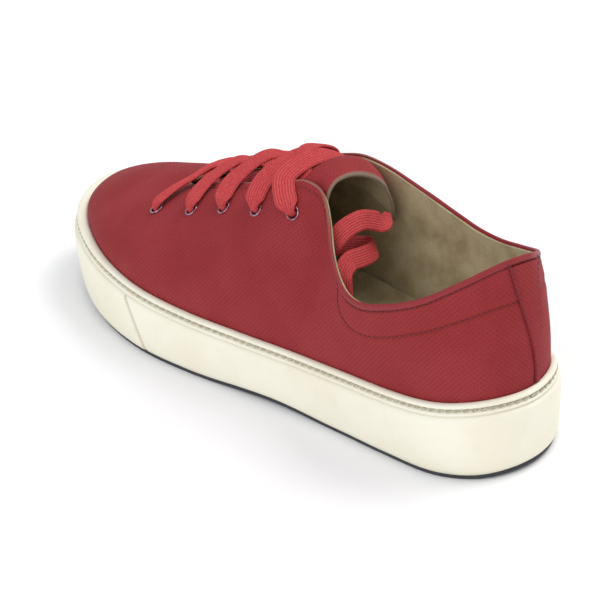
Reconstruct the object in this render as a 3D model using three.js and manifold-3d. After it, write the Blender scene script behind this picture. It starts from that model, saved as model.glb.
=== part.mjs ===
// A low canvas lace-up sneaker, the left shoe of a pair, empty and standing on its cupsole.
// Millimetres. +Y runs from heel to toe, +X to the medial (big toe) side and +Z up. The origin is on the
// floor, under the middle of the shoe's box.
import * as THREE from "three";
import { mergeVertices } from "three/addons/utils/BufferGeometryUtils.js";
import Module from "manifold-3d";

const wasm = await Module();
wasm.setup();

// ---------------------------------------------------------------- driving sizes
const LENGTH = 265; // the sole's plan, from the back of the heel to the tip of the toe under the bumper
const HEEL_X = -2.3; // where the outline crosses the heel end
const TOE_X = 11.5; // where the outline crosses the toe end
const GAP = 0.3; // clearance that glued or touching pieces keep
const COLUMNS = 84; // meridians round the shoe
const TURN = 2 * Math.PI;

// skive is how much thinner the outsole is at the toe
const OUTSOLE = { thickness: 2.2, skive: 1.1, inset: 1.3, lugDepth: 1.1, rim: 5 };
const BUMPER = { swell: 2.4, from: 0.72 }; // extra rubber round the toe
const TREAD = { pitch: 13, groove: 3, sweep: 7, heelFrom: 0.06, heelTo: 0.27, foreFrom: 0.5, foreTo: 0.93 };
const SPRING = { toeFrom: 0.7, toe: 5.6, heelTo: 0.07, heel: 2, archFrom: 0.3, archTo: 0.58, arch: 1.2 };
const UNDERCUT = { side: 0.2, heel: 2.2, heelTo: 0.15, toe: 4.2, toeFrom: 0.75 };
const CUP = { featherInset: 3.8, depth: 6 };
const UPPER = { wall: 2, rings: 9 };
const INSOLE = { inset: 7.2, bevel: 1.4, bowl: 9, archLift: 3.5, archFrom: 0.28, archTo: 0.62 };
const HEEL_STRIP = { thickness: 0.9, centre: 0.065, foot: 0.03, flare: 0.29, power: 2.2, top: 0.95 };
const TONGUE = { thickness: 2.6, clear: 0.8, from: 52, to: -27, stations: 9, frontLap: 12, frontDip: 7.5 };
const TONGUE_FLAP = { front: 9, back: 21 }; // how far the tongue runs under each facing
const LACE = { width: 8, thickness: 1.4, lift: 2.8, edgeLift: 2.9, steps: 10, up: [0, 0.34, 0.94] };
const LACE_END_SIZE = { thickness: 1.8, chamfer: 0.5, steps: 30 };
const EYELET = { hole: 2.9, flange: 3.6, barrel: 2.5, bore: 2.1, lip: 0.6, sides: 10 };

// ---------------------------------------------------------------- tables
// Widest edge of the cupsole. station is the share of the length from the heel.
const OUTLINE = [
  { station: 0.05, lateral: -28.6, medial: 24.4 },
  { station: 0.1, lateral: -35.3, medial: 30.3 },
  { station: 0.2, lateral: -37.8, medial: 31.4 },
  { station: 0.3, lateral: -38.2, medial: 30.4 },
  { station: 0.4, lateral: -39.4, medial: 29.3 },
  { station: 0.5, lateral: -42.4, medial: 30.1 },
  { station: 0.6, lateral: -45.6, medial: 34.8 },
  { station: 0.7, lateral: -46.2, medial: 42.0 },
  { station: 0.8, lateral: -40.9, medial: 46.2 },
  { station: 0.9, lateral: -28.2, medial: 40.8 },
  { station: 0.96, lateral: -14.6, medial: 30.8 },
];

// Height of the rim where canvas meets rubber, and of the footbed inside.
const HEIGHTS = [
  { station: 0, rim: 37, footbed: 36 },
  { station: 0.1, rim: 33.6, footbed: 34 },
  { station: 0.2, rim: 30.6, footbed: 32.5 },
  { station: 0.45, rim: 28, footbed: 30.5 },
  { station: 0.72, rim: 29.8, footbed: 29.5 },
  { station: 1, rim: 33.4, footbed: 32 },
];

// Cross-section of the cupsole's side, from the lip down to the plain wall.
const SIDEWALL = [
  { part: "lip inner edge", inset: 3.8, below: 0.2, bumper: 0 },
  { part: "lip crown", inset: 2.4, below: 0, bumper: 0.5 },
  { part: "lip outer edge", inset: 1.3, below: 1.3, bumper: 1 },
  { part: "stitch groove", inset: 2.0, below: 2.4, bumper: 1 },
  { part: "ridge top", inset: 1.0, below: 3.3, bumper: 1 },
  { part: "ridge foot", inset: 0.7, below: 5.2, bumper: 1 },
  { part: "shoulder", inset: 0, below: 7.6, bumper: 1 },
];

// The upper's open edge: collar, facings and the end of the throat. side 1 is medial, -1 lateral, and
// station says which point of the outline that meridian rises from.
const OPENING = [
  { side: 1, station: 0, x: -3.3, y: -125.2, z: 94.7 },
  { side: 1, station: 0.035, x: 8.1, y: -122.4, z: 90.6 },
  { side: 1, station: 0.08, x: 17.6, y: -114.9, z: 84.7 },
  { side: 1, station: 0.13, x: 23.7, y: -101.1, z: 78.9 },
  { side: 1, station: 0.18, x: 27.9, y: -85.9, z: 74.5 },
  { side: 1, station: 0.23, x: 30.8, y: -72.1, z: 73 },
  { side: 1, station: 0.28, x: 32.7, y: -59.6, z: 73.9 },
  { side: 1, station: 0.33, x: 32.8, y: -47.1, z: 76.8 },
  { side: 1, station: 0.375, x: 30.3, y: -35.7, z: 81.9 },
  { side: 1, station: 0.41, x: 26.2, y: -27.5, z: 87.6 },
  { side: 1, station: 0.45, x: 20.7, y: -19.5, z: 92.5 },
  { side: 1, station: 0.5, x: 19.2, y: -6.8, z: 89.7 },
  { side: 1, station: 0.57, x: 17.9, y: 13.9, z: 80.8 },
  { side: 1, station: 0.65, x: 16.2, y: 35.6, z: 71.2 },
  { side: 1, station: 0.75, x: 13.8, y: 53.2, z: 63.6 },
  { side: 1, station: 0.88, x: 10.4, y: 62.9, z: 59.4 },
  { side: 1, station: 1, x: 5.2, y: 66.8, z: 57.8 },
  { side: -1, station: 0.86, x: -0.6, y: 64.8, z: 58.5 },
  { side: -1, station: 0.74, x: -4.9, y: 55.1, z: 63.2 },
  { side: -1, station: 0.64, x: -7.4, y: 38.2, z: 71.1 },
  { side: -1, station: 0.56, x: -9.3, y: 15.9, z: 79.8 },
  { side: -1, station: 0.49, x: -10.5, y: -4.2, z: 88.3 },
  { side: -1, station: 0.44, x: -11.1, y: -17.2, z: 92.6 },
  { side: -1, station: 0.4, x: -12.9, y: -26.9, z: 90.7 },
  { side: -1, station: 0.37, x: -16.7, y: -32.8, z: 83.2 },
  { side: -1, station: 0.34, x: -22.7, y: -39.6, z: 74.7 },
  { side: -1, station: 0.29, x: -30.5, y: -51.7, z: 67.3 },
  { side: -1, station: 0.23, x: -34.6, y: -65.9, z: 65.3 },
  { side: -1, station: 0.18, x: -33.7, y: -79.7, z: 69 },
  { side: -1, station: 0.13, x: -30.3, y: -94.8, z: 75.5 },
  { side: -1, station: 0.08, x: -23.9, y: -109.3, z: 85 },
  { side: -1, station: 0.035, x: -14.4, y: -119.7, z: 92.3 },
];

// How each meridian leaves the rim (rise up, flare outwards) and reaches the open edge (reach outwards,
// drop down): the handles of one cubic curve.
const FORM = [
  { side: 1, station: 0, rise: 20.1, flare: 1.6, reach: 0.5, drop: 22 },
  { side: 1, station: 0.1, rise: 18.1, flare: 1.5, reach: 4, drop: 18 },
  { side: 1, station: 0.25, rise: 15, flare: 4.2, reach: 2, drop: 14 },
  { side: 1, station: 0.38, rise: 20.9, flare: 5.9, reach: 2.4, drop: 17 },
  { side: 1, station: 0.5, rise: 24.7, flare: 7, reach: 11, drop: 9.1 },
  { side: 1, station: 0.62, rise: 20.1, flare: 5, reach: 16.7, drop: 7.3 },
  { side: 1, station: 0.75, rise: 12.7, flare: 3.4, reach: 22.2, drop: 4.7 },
  { side: 1, station: 0.88, rise: 6.5, flare: 1.5, reach: 23.5, drop: 5 },
  { side: 1, station: 1, rise: 5, flare: 0.6, reach: 28.1, drop: 2 },
  { side: -1, station: 0.88, rise: 8.3, flare: 1.9, reach: 26.5, drop: 3.5 },
  { side: -1, station: 0.75, rise: 13, flare: 3, reach: 23.8, drop: 5.2 },
  { side: -1, station: 0.62, rise: 17.6, flare: 4, reach: 19.9, drop: 8.1 },
  { side: -1, station: 0.5, rise: 21.9, flare: 4, reach: 15, drop: 10 },
  { side: -1, station: 0.38, rise: 20.9, flare: 3.5, reach: 4, drop: 17 },
  { side: -1, station: 0.25, rise: 13, flare: 2.5, reach: 0.9, drop: 12 },
  { side: -1, station: 0.1, rise: 17, flare: 2.3, reach: 0.6, drop: 18 },
];

// Eyelets, from the toe end of the throat to the collar: y is where each sits along the shoe.
const EYELETS = [
  { pair: 1, y: 64, fromEdge: 19.5 },
  { pair: 2, y: 42.5, fromEdge: 16 },
  { pair: 3, y: 24.2, fromEdge: 13.3 },
  { pair: 4, y: 4.1, fromEdge: 13.7 },
  { pair: 5, y: -15.5, fromEdge: 14 },
];

// The lace's strands over the throat, each from an eyelet to the other side. crown is the height of its
// middle over the line between the facings' edges, and onto says if it lies over the far facing.
const STRANDS = [
  { side: 1, from: 1, to: 2, crown: 3.7, onto: true },
  { side: -1, from: 1, to: 2, crown: 4.8, onto: true },
  { side: 1, from: 2, to: 3, crown: 5.4, onto: true },
  { side: -1, from: 2, to: 3, crown: 6.5, onto: true },
  { side: 1, from: 3, to: 4, crown: 7.1, onto: true },
  { side: -1, from: 3, to: 4, crown: 8.2, onto: true },
  { side: -1, from: 4, to: 5, crown: 8.4, onto: true },
  { side: 1, from: 4, to: 5, crown: 9.5, onto: false },
  { side: -1, from: 5, to: 5, crown: 6.6, onto: false },
];

// The lace's loose end, tucked into the collar behind the tongue. facing is where its flat side looks.
const LACE_END = [
  { x: 15.6, y: -34.8, z: 73, facing: [0.1, -0.2, 0.97] },
  { x: 12.4, y: -36.6, z: 72, facing: [-0.1, -0.35, 0.9] },
  { x: 9.4, y: -38, z: 72.6, facing: [-0.3, -0.55, 0.7] },
  { x: 3.6, y: -37.6, z: 76, facing: [-0.5, -0.6, 0.6] },
  { x: -1.8, y: -37, z: 78, facing: [-0.5, -0.65, 0.5] },
  { x: -8.6, y: -35.6, z: 77, facing: [-0.5, -0.65, 0.5] },
  { x: -12.6, y: -35, z: 75.2, facing: [-0.6, -0.6, 0.4] },
  { x: -15.6, y: -33.6, z: 71.6, facing: [-0.95, -0.2, 0.2] },
  { x: -14.2, y: -30.4, z: 68, facing: [-0.2, 0.85, -0.4] },
  { x: -8.6, y: -29.4, z: 66.8, facing: [0.4, 0.75, -0.5] },
  { x: -2, y: -29.4, z: 63.6, facing: [0.4, 0.75, -0.5] },
  { x: 5, y: -31.4, z: 61, facing: [0.7, 0.5, -0.4] },
  { x: 6.6, y: -35.6, z: 61.6, facing: [0.9, -0.3, 0.1] },
  { x: 2, y: -39, z: 62.4, facing: [-0.1, -0.9, 0.4] },
  { x: -5.6, y: -40.6, z: 64, facing: [-0.4, -0.75, 0.5] },
  { x: -14, y: -41.6, z: 65.6, facing: [-0.4, -0.75, 0.5] },
  { x: -20, y: -43.4, z: 63, facing: [-0.5, -0.7, 0.2] },
  { x: -22.6, y: -45.4, z: 55.6, facing: [-0.7, -0.6, 0] },
  { x: -24.6, y: -46.4, z: 48, facing: [-0.8, -0.5, 0] },
];

// ---------------------------------------------------------------- curves through the tables
// The angle of a station: 0 at the heel, half a turn at the toe, growing along the medial side.
function angleOf(side, station) {
  const half = Math.acos(1 - 2 * station);
  return side > 0 ? half : TURN - half;
}

function stationOf(angle) {
  return (1 - Math.cos(angle)) / 2;
}

// A cubic between two rows, whose slopes come from the rows on either side.
function hermite(a, b, slopeA, slopeB, width, share) {
  const s2 = share * share;
  const s3 = s2 * share;
  return (
    (2 * s3 - 3 * s2 + 1) * a + (s3 - 2 * s2 + share) * width * slopeA + (3 * s2 - 2 * s3) * b +
    (s3 - s2) * width * slopeB
  );
}

// A smooth closed curve through (angle, value) rows.
function loopCurve(rows, column) {
  const count = rows.length;
  const wrap = (i) => ((i % count) + count) % count;
  const angle = (i) => rows[wrap(i)].angle + TURN * Math.floor(i / count);
  const value = (i) => rows[wrap(i)][column];
  const secant = (i) => (value(i + 1) - value(i)) / (angle(i + 1) - angle(i));
  const slope = (i) => {
    const before = angle(i) - angle(i - 1);
    const after = angle(i + 1) - angle(i);
    return (secant(i - 1) * after + secant(i) * before) / (before + after);
  };
  return (at) => {
    const turned = at - TURN * Math.floor(at / TURN);
    let i = count - 1;
    while (i > 0 && rows[i].angle > turned) i -= 1;
    const width = angle(i + 1) - angle(i);
    return hermite(value(i), value(i + 1), slope(i), slope(i + 1), width, (turned - angle(i)) / width);
  };
}

// A smooth open curve through (station, value) rows, flat at both ends.
function stationCurve(rows, column) {
  const last = rows.length - 1;
  const slope = (i) => {
    if (i === 0 || i === last) return 0;
    return (rows[i + 1][column] - rows[i - 1][column]) / (rows[i + 1].station - rows[i - 1].station);
  };
  return (station) => {
    let i = 0;
    while (i < last - 1 && rows[i + 1].station < station) i += 1;
    const width = rows[i + 1].station - rows[i].station;
    const share = THREE.MathUtils.clamp((station - rows[i].station) / width, 0, 1);
    return hermite(rows[i][column], rows[i + 1][column], slope(i), slope(i + 1), width, share);
  };
}

function outlineRows() {
  const medial = OUTLINE.map((row) => ({ angle: angleOf(1, row.station), x: row.medial }));
  const lateral = OUTLINE.map((row) => ({ angle: angleOf(-1, row.station), x: row.lateral }));
  return [{ angle: 0, x: HEEL_X }, ...medial, { angle: Math.PI, x: TOE_X }, ...lateral.reverse()];
}

function withAngles(rows) {
  return rows.map((row) => ({ ...row, angle: angleOf(row.side, row.station) }));
}

const outlineX = loopCurve(outlineRows(), "x");
const openingRows = withAngles(OPENING);
const openingCurve = ["x", "y", "z"].map((column) => loopCurve(openingRows, column));
const formRows = withAngles(FORM);
const form = {
  rise: loopCurve(formRows, "rise"),
  flare: loopCurve(formRows, "flare"),
  reach: loopCurve(formRows, "reach"),
  drop: loopCurve(formRows, "drop"),
};
const rimHeight = stationCurve(HEIGHTS, "rim");
const footbedHeight = stationCurve(HEIGHTS, "footbed");

// ---------------------------------------------------------------- the sole's plan and underside
function outlineAt(angle) {
  return new THREE.Vector3(outlineX(angle), -Math.cos(angle) * 0.5 * LENGTH, 0);
}

function outwardAt(angle) {
  const step = 0.01;
  const along = outlineAt(angle + step).sub(outlineAt(angle - step));
  return new THREE.Vector3(along.y, -along.x, 0).normalize();
}

function inPlan(angle, inset, z) {
  const point = outlineAt(angle).addScaledVector(outwardAt(angle), -inset);
  return point.setZ(z);
}

function stationAlong(y) {
  return THREE.MathUtils.clamp(y / LENGTH + 0.5, 0, 1);
}

// Height of the outsole's face over the floor: two flat spots, a low arch, and heel and toe spring.
function floorHeight(y) {
  const station = stationAlong(y);
  const toe = Math.max(0, (station - SPRING.toeFrom) / (1 - SPRING.toeFrom));
  const heel = Math.max(0, (SPRING.heelTo - station) / SPRING.heelTo);
  const waist = THREE.MathUtils.clamp((station - SPRING.archFrom) / (SPRING.archTo - SPRING.archFrom), 0, 1);
  return SPRING.toe * toe ** 2 + SPRING.heel * heel ** 2 + SPRING.arch * Math.sin(Math.PI * waist) ** 2;
}

// How far the toe bumper stands out past the sole's plan.
function swellAt(angle) {
  return BUMPER.swell * THREE.MathUtils.smoothstep(stationOf(angle), BUMPER.from, 1);
}

function outsoleTop(y) {
  const toe = Math.max(0, (stationAlong(y) - BUMPER.from) / (1 - BUMPER.from));
  return floorHeight(y) + OUTSOLE.thickness - OUTSOLE.skive * toe ** 2;
}

function undercutAt(angle) {
  const station = stationOf(angle);
  const heel = Math.max(0, (UNDERCUT.heelTo - station) / UNDERCUT.heelTo);
  const toe = Math.max(0, (station - UNDERCUT.toeFrom) / (1 - UNDERCUT.toeFrom));
  return UNDERCUT.side + UNDERCUT.heel * heel ** 2 + UNDERCUT.toe * toe ** 2;
}

function cupFloor(angle) {
  return rimHeight(stationOf(angle)) - CUP.depth;
}

// ---------------------------------------------------------------- the upper's surface, shaped on the last
function openingAt(angle) {
  return new THREE.Vector3(...openingCurve.map((curve) => curve(angle)));
}

// A point of the outer canvas: share 0 is at the rim and 1 at the open edge.
function canvasAt(angle, share) {
  const outward = outwardAt(angle);
  const rim = inPlan(angle, CUP.featherInset + GAP, rimHeight(stationOf(angle)));
  const edge = openingAt(angle);
  const low = rim.clone().addScaledVector(outward, form.flare(angle));
  low.z += form.rise(angle);
  const high = edge.clone().addScaledVector(outward, form.reach(angle));
  high.z -= form.drop(angle);
  return new THREE.CubicBezierCurve3(rim, low, high, edge).getPoint(share);
}

function canvasNormal(angle, share) {
  const step = 0.01;
  const low = Math.max(0, share - step);
  const high = Math.min(1, share + step);
  const across = canvasAt(angle + step, share).sub(canvasAt(angle - step, share));
  const up = canvasAt(angle, high).sub(canvasAt(angle, low));
  return across.cross(up).normalize();
}

// A point off the canvas by so much along its normal.
function offCanvas(angle, share, distance) {
  return canvasAt(angle, share).addScaledVector(canvasNormal(angle, share), distance);
}

// The share at which the meridian lies so far below the open edge.
function shareBelowEdge(angle, distance) {
  const steps = 60;
  let length = 0;
  let previous = canvasAt(angle, 1);
  for (let i = steps - 1; i >= 0; i -= 1) {
    const point = canvasAt(angle, i / steps);
    length += point.distanceTo(previous);
    previous = point;
    if (length >= distance) return i / steps;
  }
  return 0;
}

// Meridians spaced evenly by the length that they cut from the rim and from the open edge.
function meridianAngles() {
  const steps = 2000;
  const rimWeight = 0.72;
  const lengths = [0];
  for (let i = 1; i <= steps; i += 1) {
    const before = (TURN * (i - 1)) / steps;
    const after = (TURN * i) / steps;
    const rim = outlineAt(after).distanceTo(outlineAt(before));
    const edge = openingAt(after).distanceTo(openingAt(before));
    lengths.push(lengths[i - 1] + rimWeight * rim + (1 - rimWeight) * edge);
  }
  const angles = [];
  let i = 0;
  for (let column = 0; column < COLUMNS; column += 1) {
    const target = (lengths[steps] * column) / COLUMNS;
    while (lengths[i + 1] <= target) i += 1;
    const share = (target - lengths[i]) / (lengths[i + 1] - lengths[i]);
    angles.push((TURN * (i + share)) / steps);
  }
  return angles;
}

const ANGLES = meridianAngles();

// ---------------------------------------------------------------- mesh helpers
// Rings of points joined in order. Closed rings wrap round, and a closed loft joins its last ring to its
// first.
function loftFaces(rings, size, closedRing, closedLoft) {
  const faces = [];
  const ringSteps = closedLoft ? rings : rings - 1;
  const pointSteps = closedRing ? size : size - 1;
  for (let r = 0; r < ringSteps; r += 1) {
    const next = (r + 1) % rings;
    for (let p = 0; p < pointSteps; p += 1) {
      const q = (p + 1) % size;
      faces.push(r * size + p, r * size + q, next * size + q);
      faces.push(r * size + p, next * size + q, next * size + p);
    }
  }
  return faces;
}

// Triangles across a ring of the plan, laced from side to side so that they follow its rise and fall.
function crossFaces(points, first, upwards) {
  const faces = [];
  const toe = points.reduce((best, point, i) => (point.y > points[best].y ? i : best), 0);
  let medial = 0;
  let lateral = points.length;
  const at = (i) => points[i % points.length];
  while (medial < toe || lateral > toe) {
    const stepMedial = lateral === toe || (medial < toe && at(medial + 1).y <= at(lateral - 1).y);
    const next = stepMedial ? medial + 1 : lateral - 1;
    const a = first + (medial % points.length);
    const b = first + (next % points.length);
    const c = first + (lateral % points.length);
    if (a !== b && b !== c && a !== c) faces.push(...(upwards ? [a, b, c] : [a, c, b]));
    if (stepMedial) medial = next;
    else lateral = next;
  }
  return faces;
}

function geometryOf(points, faces) {
  const geometry = new THREE.BufferGeometry();
  geometry.setAttribute("position", new THREE.Float32BufferAttribute(points.flatMap((p) => p.toArray()), 3));
  geometry.setIndex(faces);
  return geometry;
}

function solidOf(geometry) {
  const bare = geometry.clone();
  bare.deleteAttribute("normal");
  bare.deleteAttribute("uv");
  const merged = mergeVertices(bare, 1e-4);
  return new wasm.Manifold(
    new wasm.Mesh({
      numProp: 3,
      vertProperties: new Float32Array(merged.attributes.position.array),
      triVerts: new Uint32Array(merged.index.array),
    }),
  );
}

function geometryFromSolid(solid) {
  const mesh = solid.getMesh();
  const geometry = new THREE.BufferGeometry();
  geometry.setAttribute("position", new THREE.BufferAttribute(new Float32Array(mesh.vertProperties), 3));
  geometry.setIndex(Array.from(mesh.triVerts));
  return geometry;
}

// A solid from rings of the plan, listed from its upper face, over its side, to its lower face.
function platter(topDown) {
  const rings = [...topDown].reverse();
  const last = rings.length - 1;
  const faces = loftFaces(rings.length, COLUMNS, true, false);
  faces.push(...crossFaces(rings[0], 0, false));
  faces.push(...crossFaces(rings[last], last * COLUMNS, true));
  return geometryOf(rings.flat(), faces);
}

// A solid from a row of closed rings, shut by a fan at each end.
function tubeOf(rings) {
  const size = rings[0].length;
  const last = (rings.length - 1) * size;
  const faces = loftFaces(rings.length, size, true, false);
  const half = size / 2;
  for (let i = 0; i < half - 1; i += 1) {
    const j = size - 1 - i;
    faces.push(i, j, i + 1, i + 1, j, j - 1);
    faces.push(last + i, last + i + 1, last + j, last + i + 1, last + j - 1, last + j);
  }
  return geometryOf(rings.flat(), faces);
}

// ---------------------------------------------------------------- sole
function cupsole() {
  const inner = CUP.featherInset;
  const rings = [ANGLES.map((angle) => inPlan(angle, inner, cupFloor(angle)))];
  for (const row of SIDEWALL) {
    const height = (angle) => rimHeight(stationOf(angle)) - row.below;
    rings.push(ANGLES.map((angle) => inPlan(angle, row.inset - row.bumper * swellAt(angle), height(angle))));
  }
  const wall = (share) =>
    ANGLES.map((angle) => {
      const foot = inPlan(angle, undercutAt(angle) * share ** 2 - swellAt(angle), 0);
      const top = rimHeight(stationOf(angle)) - SIDEWALL[SIDEWALL.length - 1].below;
      const bottom = outsoleTop(foot.y) + GAP;
      return foot.setZ(THREE.MathUtils.lerp(top, bottom, share));
    });
  rings.push(wall(0.5), wall(1));
  return platter(rings);
}

// A slab over the outsole's plan, between two heights that are worked out from the place along the shoe.
function outsoleSlab(inset, bottom, top) {
  const ring = (height) =>
    ANGLES.map((angle) => {
      const point = inPlan(angle, undercutAt(angle) - swellAt(angle) + inset, 0);
      return point.setZ(height(point.y));
    });
  return solidOf(platter([ring(top), ring(bottom)]));
}

// One chevron channel between lugs, as a prism through the whole tread.
function chevron(y) {
  const half = 60;
  const height = 40;
  const { groove, sweep } = TREAD;
  const shape = new THREE.Shape([
    new THREE.Vector2(-half, y - sweep * 2),
    new THREE.Vector2(0, y),
    new THREE.Vector2(half, y - sweep * 2),
    new THREE.Vector2(half, y - sweep * 2 + groove),
    new THREE.Vector2(0, y + groove),
    new THREE.Vector2(-half, y - sweep * 2 + groove),
  ]);
  const prism = new THREE.ExtrudeGeometry(shape, { depth: height, bevelEnabled: false });
  return solidOf(prism.translate(0, 0, -height / 2));
}

function outsole() {
  const { inset, lugDepth, rim } = OUTSOLE;
  const channelZone = outsoleSlab(inset + rim, () => -5, (y) => floorHeight(y) + lugDepth);
  let solid = outsoleSlab(inset, floorHeight, outsoleTop);
  for (const [from, to] of [[TREAD.heelFrom, TREAD.heelTo], [TREAD.foreFrom, TREAD.foreTo]]) {
    const start = (from - 0.5) * LENGTH;
    const count = Math.floor(((to - from) * LENGTH) / TREAD.pitch);
    for (let i = 0; i <= count; i += 1) {
      solid = solid.subtract(channelZone.intersect(chevron(start + i * TREAD.pitch)));
    }
  }
  return geometryFromSolid(solid);
}

// ---------------------------------------------------------------- upper
// Rings from the lasting margin, up the outside to the open edge and back down the inside.
function upperShell() {
  const margin = (distance) =>
    ANGLES.map((angle) => inPlan(angle, CUP.featherInset + GAP + distance, cupFloor(angle) + GAP));
  const rings = [margin(0)];
  for (let i = 0; i <= UPPER.rings; i += 1) {
    rings.push(ANGLES.map((angle) => canvasAt(angle, i / UPPER.rings)));
  }
  for (let i = UPPER.rings; i >= 0; i -= 1) {
    rings.push(ANGLES.map((angle) => offCanvas(angle, i / UPPER.rings, -UPPER.wall)));
  }
  rings.push(margin(UPPER.wall));
  return solidOf(geometryOf(rings.flat(), loftFaces(rings.length, COLUMNS, true, true)));
}

// The place and normal of a point of the canvas, so far along the shoe and so far below the facing's edge.
function facingPlace(side, y, fromEdge) {
  const ends = [angleOf(side, 0.36), angleOf(side, 0.97)];
  const placeAt = (angle) => {
    const share = shareBelowEdge(angle, fromEdge);
    return { point: canvasAt(angle, share), normal: canvasNormal(angle, share) };
  };
  let place = placeAt(ends[0]);
  for (let i = 0; i < 30; i += 1) {
    const middle = (ends[0] + ends[1]) / 2;
    place = placeAt(middle);
    ends[place.point.y < y ? 0 : 1] = middle;
  }
  return place;
}

// Turns a shape made round +Z so that +Z is the normal and the origin is the place.
function stand(geometry, place) {
  const up = new THREE.Vector3(0, 0, 1);
  const turn = new THREE.Quaternion().setFromUnitVectors(up, place.normal);
  return geometry.applyQuaternion(turn).translate(...place.point.toArray());
}

const eyeletPlaces = EYELETS.flatMap((row) => [
  { name: `lateral_${row.pair}`, ...facingPlace(-1, row.y, row.fromEdge) },
  { name: `medial_${row.pair}`, ...facingPlace(1, row.y, row.fromEdge) },
]);

// A closed ring turned round +Z from a profile of radius and height.
function turnedRing(profile, sides) {
  const closed = [...profile, profile[0]].map(([radius, height]) => new THREE.Vector2(radius, height));
  return new THREE.LatheGeometry(closed, sides).rotateX(Math.PI / 2);
}

function eyelet(place) {
  const { flange, barrel, bore, lip, sides } = EYELET;
  const profile = [
    [bore, -UPPER.wall],
    [barrel, -UPPER.wall],
    [barrel, GAP],
    [flange, GAP],
    [flange - lip, GAP + lip],
    [bore, GAP + lip],
  ];
  return geometryFromSolid(solidOf(stand(turnedRing(profile, sides), place)));
}

function upper() {
  const { hole, sides } = EYELET;
  const punched = eyeletPlaces.reduce((shell, place) => {
    const punch = new THREE.CylinderGeometry(hole, hole, 12, sides).rotateX(Math.PI / 2);
    return shell.subtract(solidOf(stand(punch, place)));
  }, upperShell());
  return geometryFromSolid(punched);
}

// The strip sewn up the back of the heel, narrow at the rim and spreading to the collar.
function heelStrip() {
  const { thickness, centre, foot, flare, power, top } = HEEL_STRIP;
  const bottom = 0.02;
  const rows = 8;
  const columns = 6;
  const layer = (share, off) =>
    Array.from({ length: columns + 1 }, (_, i) => {
      const half = foot + flare * share ** power;
      return offCanvas(centre + half * ((2 * i) / columns - 1), share, off);
    });
  const rings = Array.from({ length: rows + 1 }, (_, i) => {
    const share = THREE.MathUtils.lerp(bottom, top, i / rows);
    return [...layer(share, GAP + thickness), ...layer(share, GAP).reverse()];
  });
  return tubeOf(rings);
}

// ---------------------------------------------------------------- tongue
// The angle on one side at which the open edge stands at a height along the shoe.
function edgeAngle(side, y) {
  const ends = [angleOf(side, 0.37), angleOf(side, 0.97)];
  for (let i = 0; i < 30; i += 1) {
    const middle = (ends[0] + ends[1]) / 2;
    ends[openingAt(middle).y < y ? 0 : 1] = middle;
  }
  return (ends[0] + ends[1]) / 2;
}

// One section of the tongue, from the flap under the lateral facing over the instep to the medial flap.
function tongueSection(y, flap) {
  const off = -(UPPER.wall + TONGUE.clear);
  const flapPoints = (side) => {
    const angle = edgeAngle(side, y);
    return [1, 0.5, 0].map((share) => offCanvas(angle, shareBelowEdge(angle, flap * share), off));
  };
  const lateral = flapPoints(-1);
  const medial = flapPoints(1).reverse();
  const reach = lateral[2].distanceTo(medial[0]) * 0.36;
  const rising = lateral[2].clone().sub(lateral[1]).setLength(reach).add(lateral[2]);
  const falling = medial[0].clone().sub(medial[1]).setLength(reach).add(medial[0]);
  const crown = new THREE.CubicBezierCurve3(lateral[2], rising, falling, medial[0]);
  return [...lateral, ...[0.25, 0.5, 0.75].map((share) => crown.getPoint(share)), ...medial];
}

function tongue() {
  const { from, to, stations, frontLap, frontDip, thickness } = TONGUE;
  const outer = Array.from({ length: stations }, (_, i) => {
    const share = i / (stations - 1);
    const flap = THREE.MathUtils.lerp(TONGUE_FLAP.front, TONGUE_FLAP.back, share);
    return tongueSection(THREE.MathUtils.lerp(from, to, share), flap);
  });
  const tip = outer[0].map((point) => point.clone().add(new THREE.Vector3(0, frontLap, -frontDip)));
  outer.unshift(tip);
  const inward = (section, i) => {
    const before = section[Math.max(0, i - 1)];
    const after = section[Math.min(section.length - 1, i + 1)];
    const across = after.clone().sub(before);
    return new THREE.Vector3(across.z, 0, -across.x).setLength(thickness).add(section[i]);
  };
  const ringOf = (section) => [...section.map((_, i) => inward(section, i)), ...[...section].reverse()];
  return tubeOf(outer.map(ringOf));
}

// ---------------------------------------------------------------- lace
// A flat lace's route. Each stop is a point and the way that the flat side faces there.
class LaceRoute extends THREE.CatmullRomCurve3 {
  constructor(stops) {
    super(stops.map((stop) => stop.point));
    this.facing = new THREE.CatmullRomCurve3(stops.map((stop) => stop.facing));
  }

  computeFrenetFrames(segments) {
    const shares = Array.from({ length: segments + 1 }, (_, i) => i / segments);
    const tangents = shares.map((share) => this.getTangentAt(share));
    const normals = tangents.map((tangent, i) => {
      const facing = this.facing.getPoint(this.getUtoTmapping(shares[i]));
      return tangent.clone().cross(facing).normalize();
    });
    const binormals = tangents.map((tangent, i) => tangent.clone().cross(normals[i]));
    return { tangents, normals, binormals };
  }
}

// A flat section, with its corners cut where chamfer is more than 0.
function laceSection(thickness, chamfer) {
  const x = LACE.width / 2;
  const y = thickness / 2;
  const c = chamfer;
  const under = [[-x, c - y], [c - x, -y], [x - c, -y], [x, c - y]];
  const over = [[x, y - c], [x - c, y], [c - x, y], [-x, y - c]];
  const corners = [...under, ...over];
  const kept = chamfer > 0 ? corners : [corners[0], corners[2], corners[4], corners[6]];
  return new THREE.Shape(kept.map(([across, through]) => new THREE.Vector2(across, through)));
}

function laceAlong(stops, section, steps) {
  const extrudePath = new LaceRoute(stops);
  return new THREE.ExtrudeGeometry(section, { extrudePath, steps, bevelEnabled: false });
}

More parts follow.
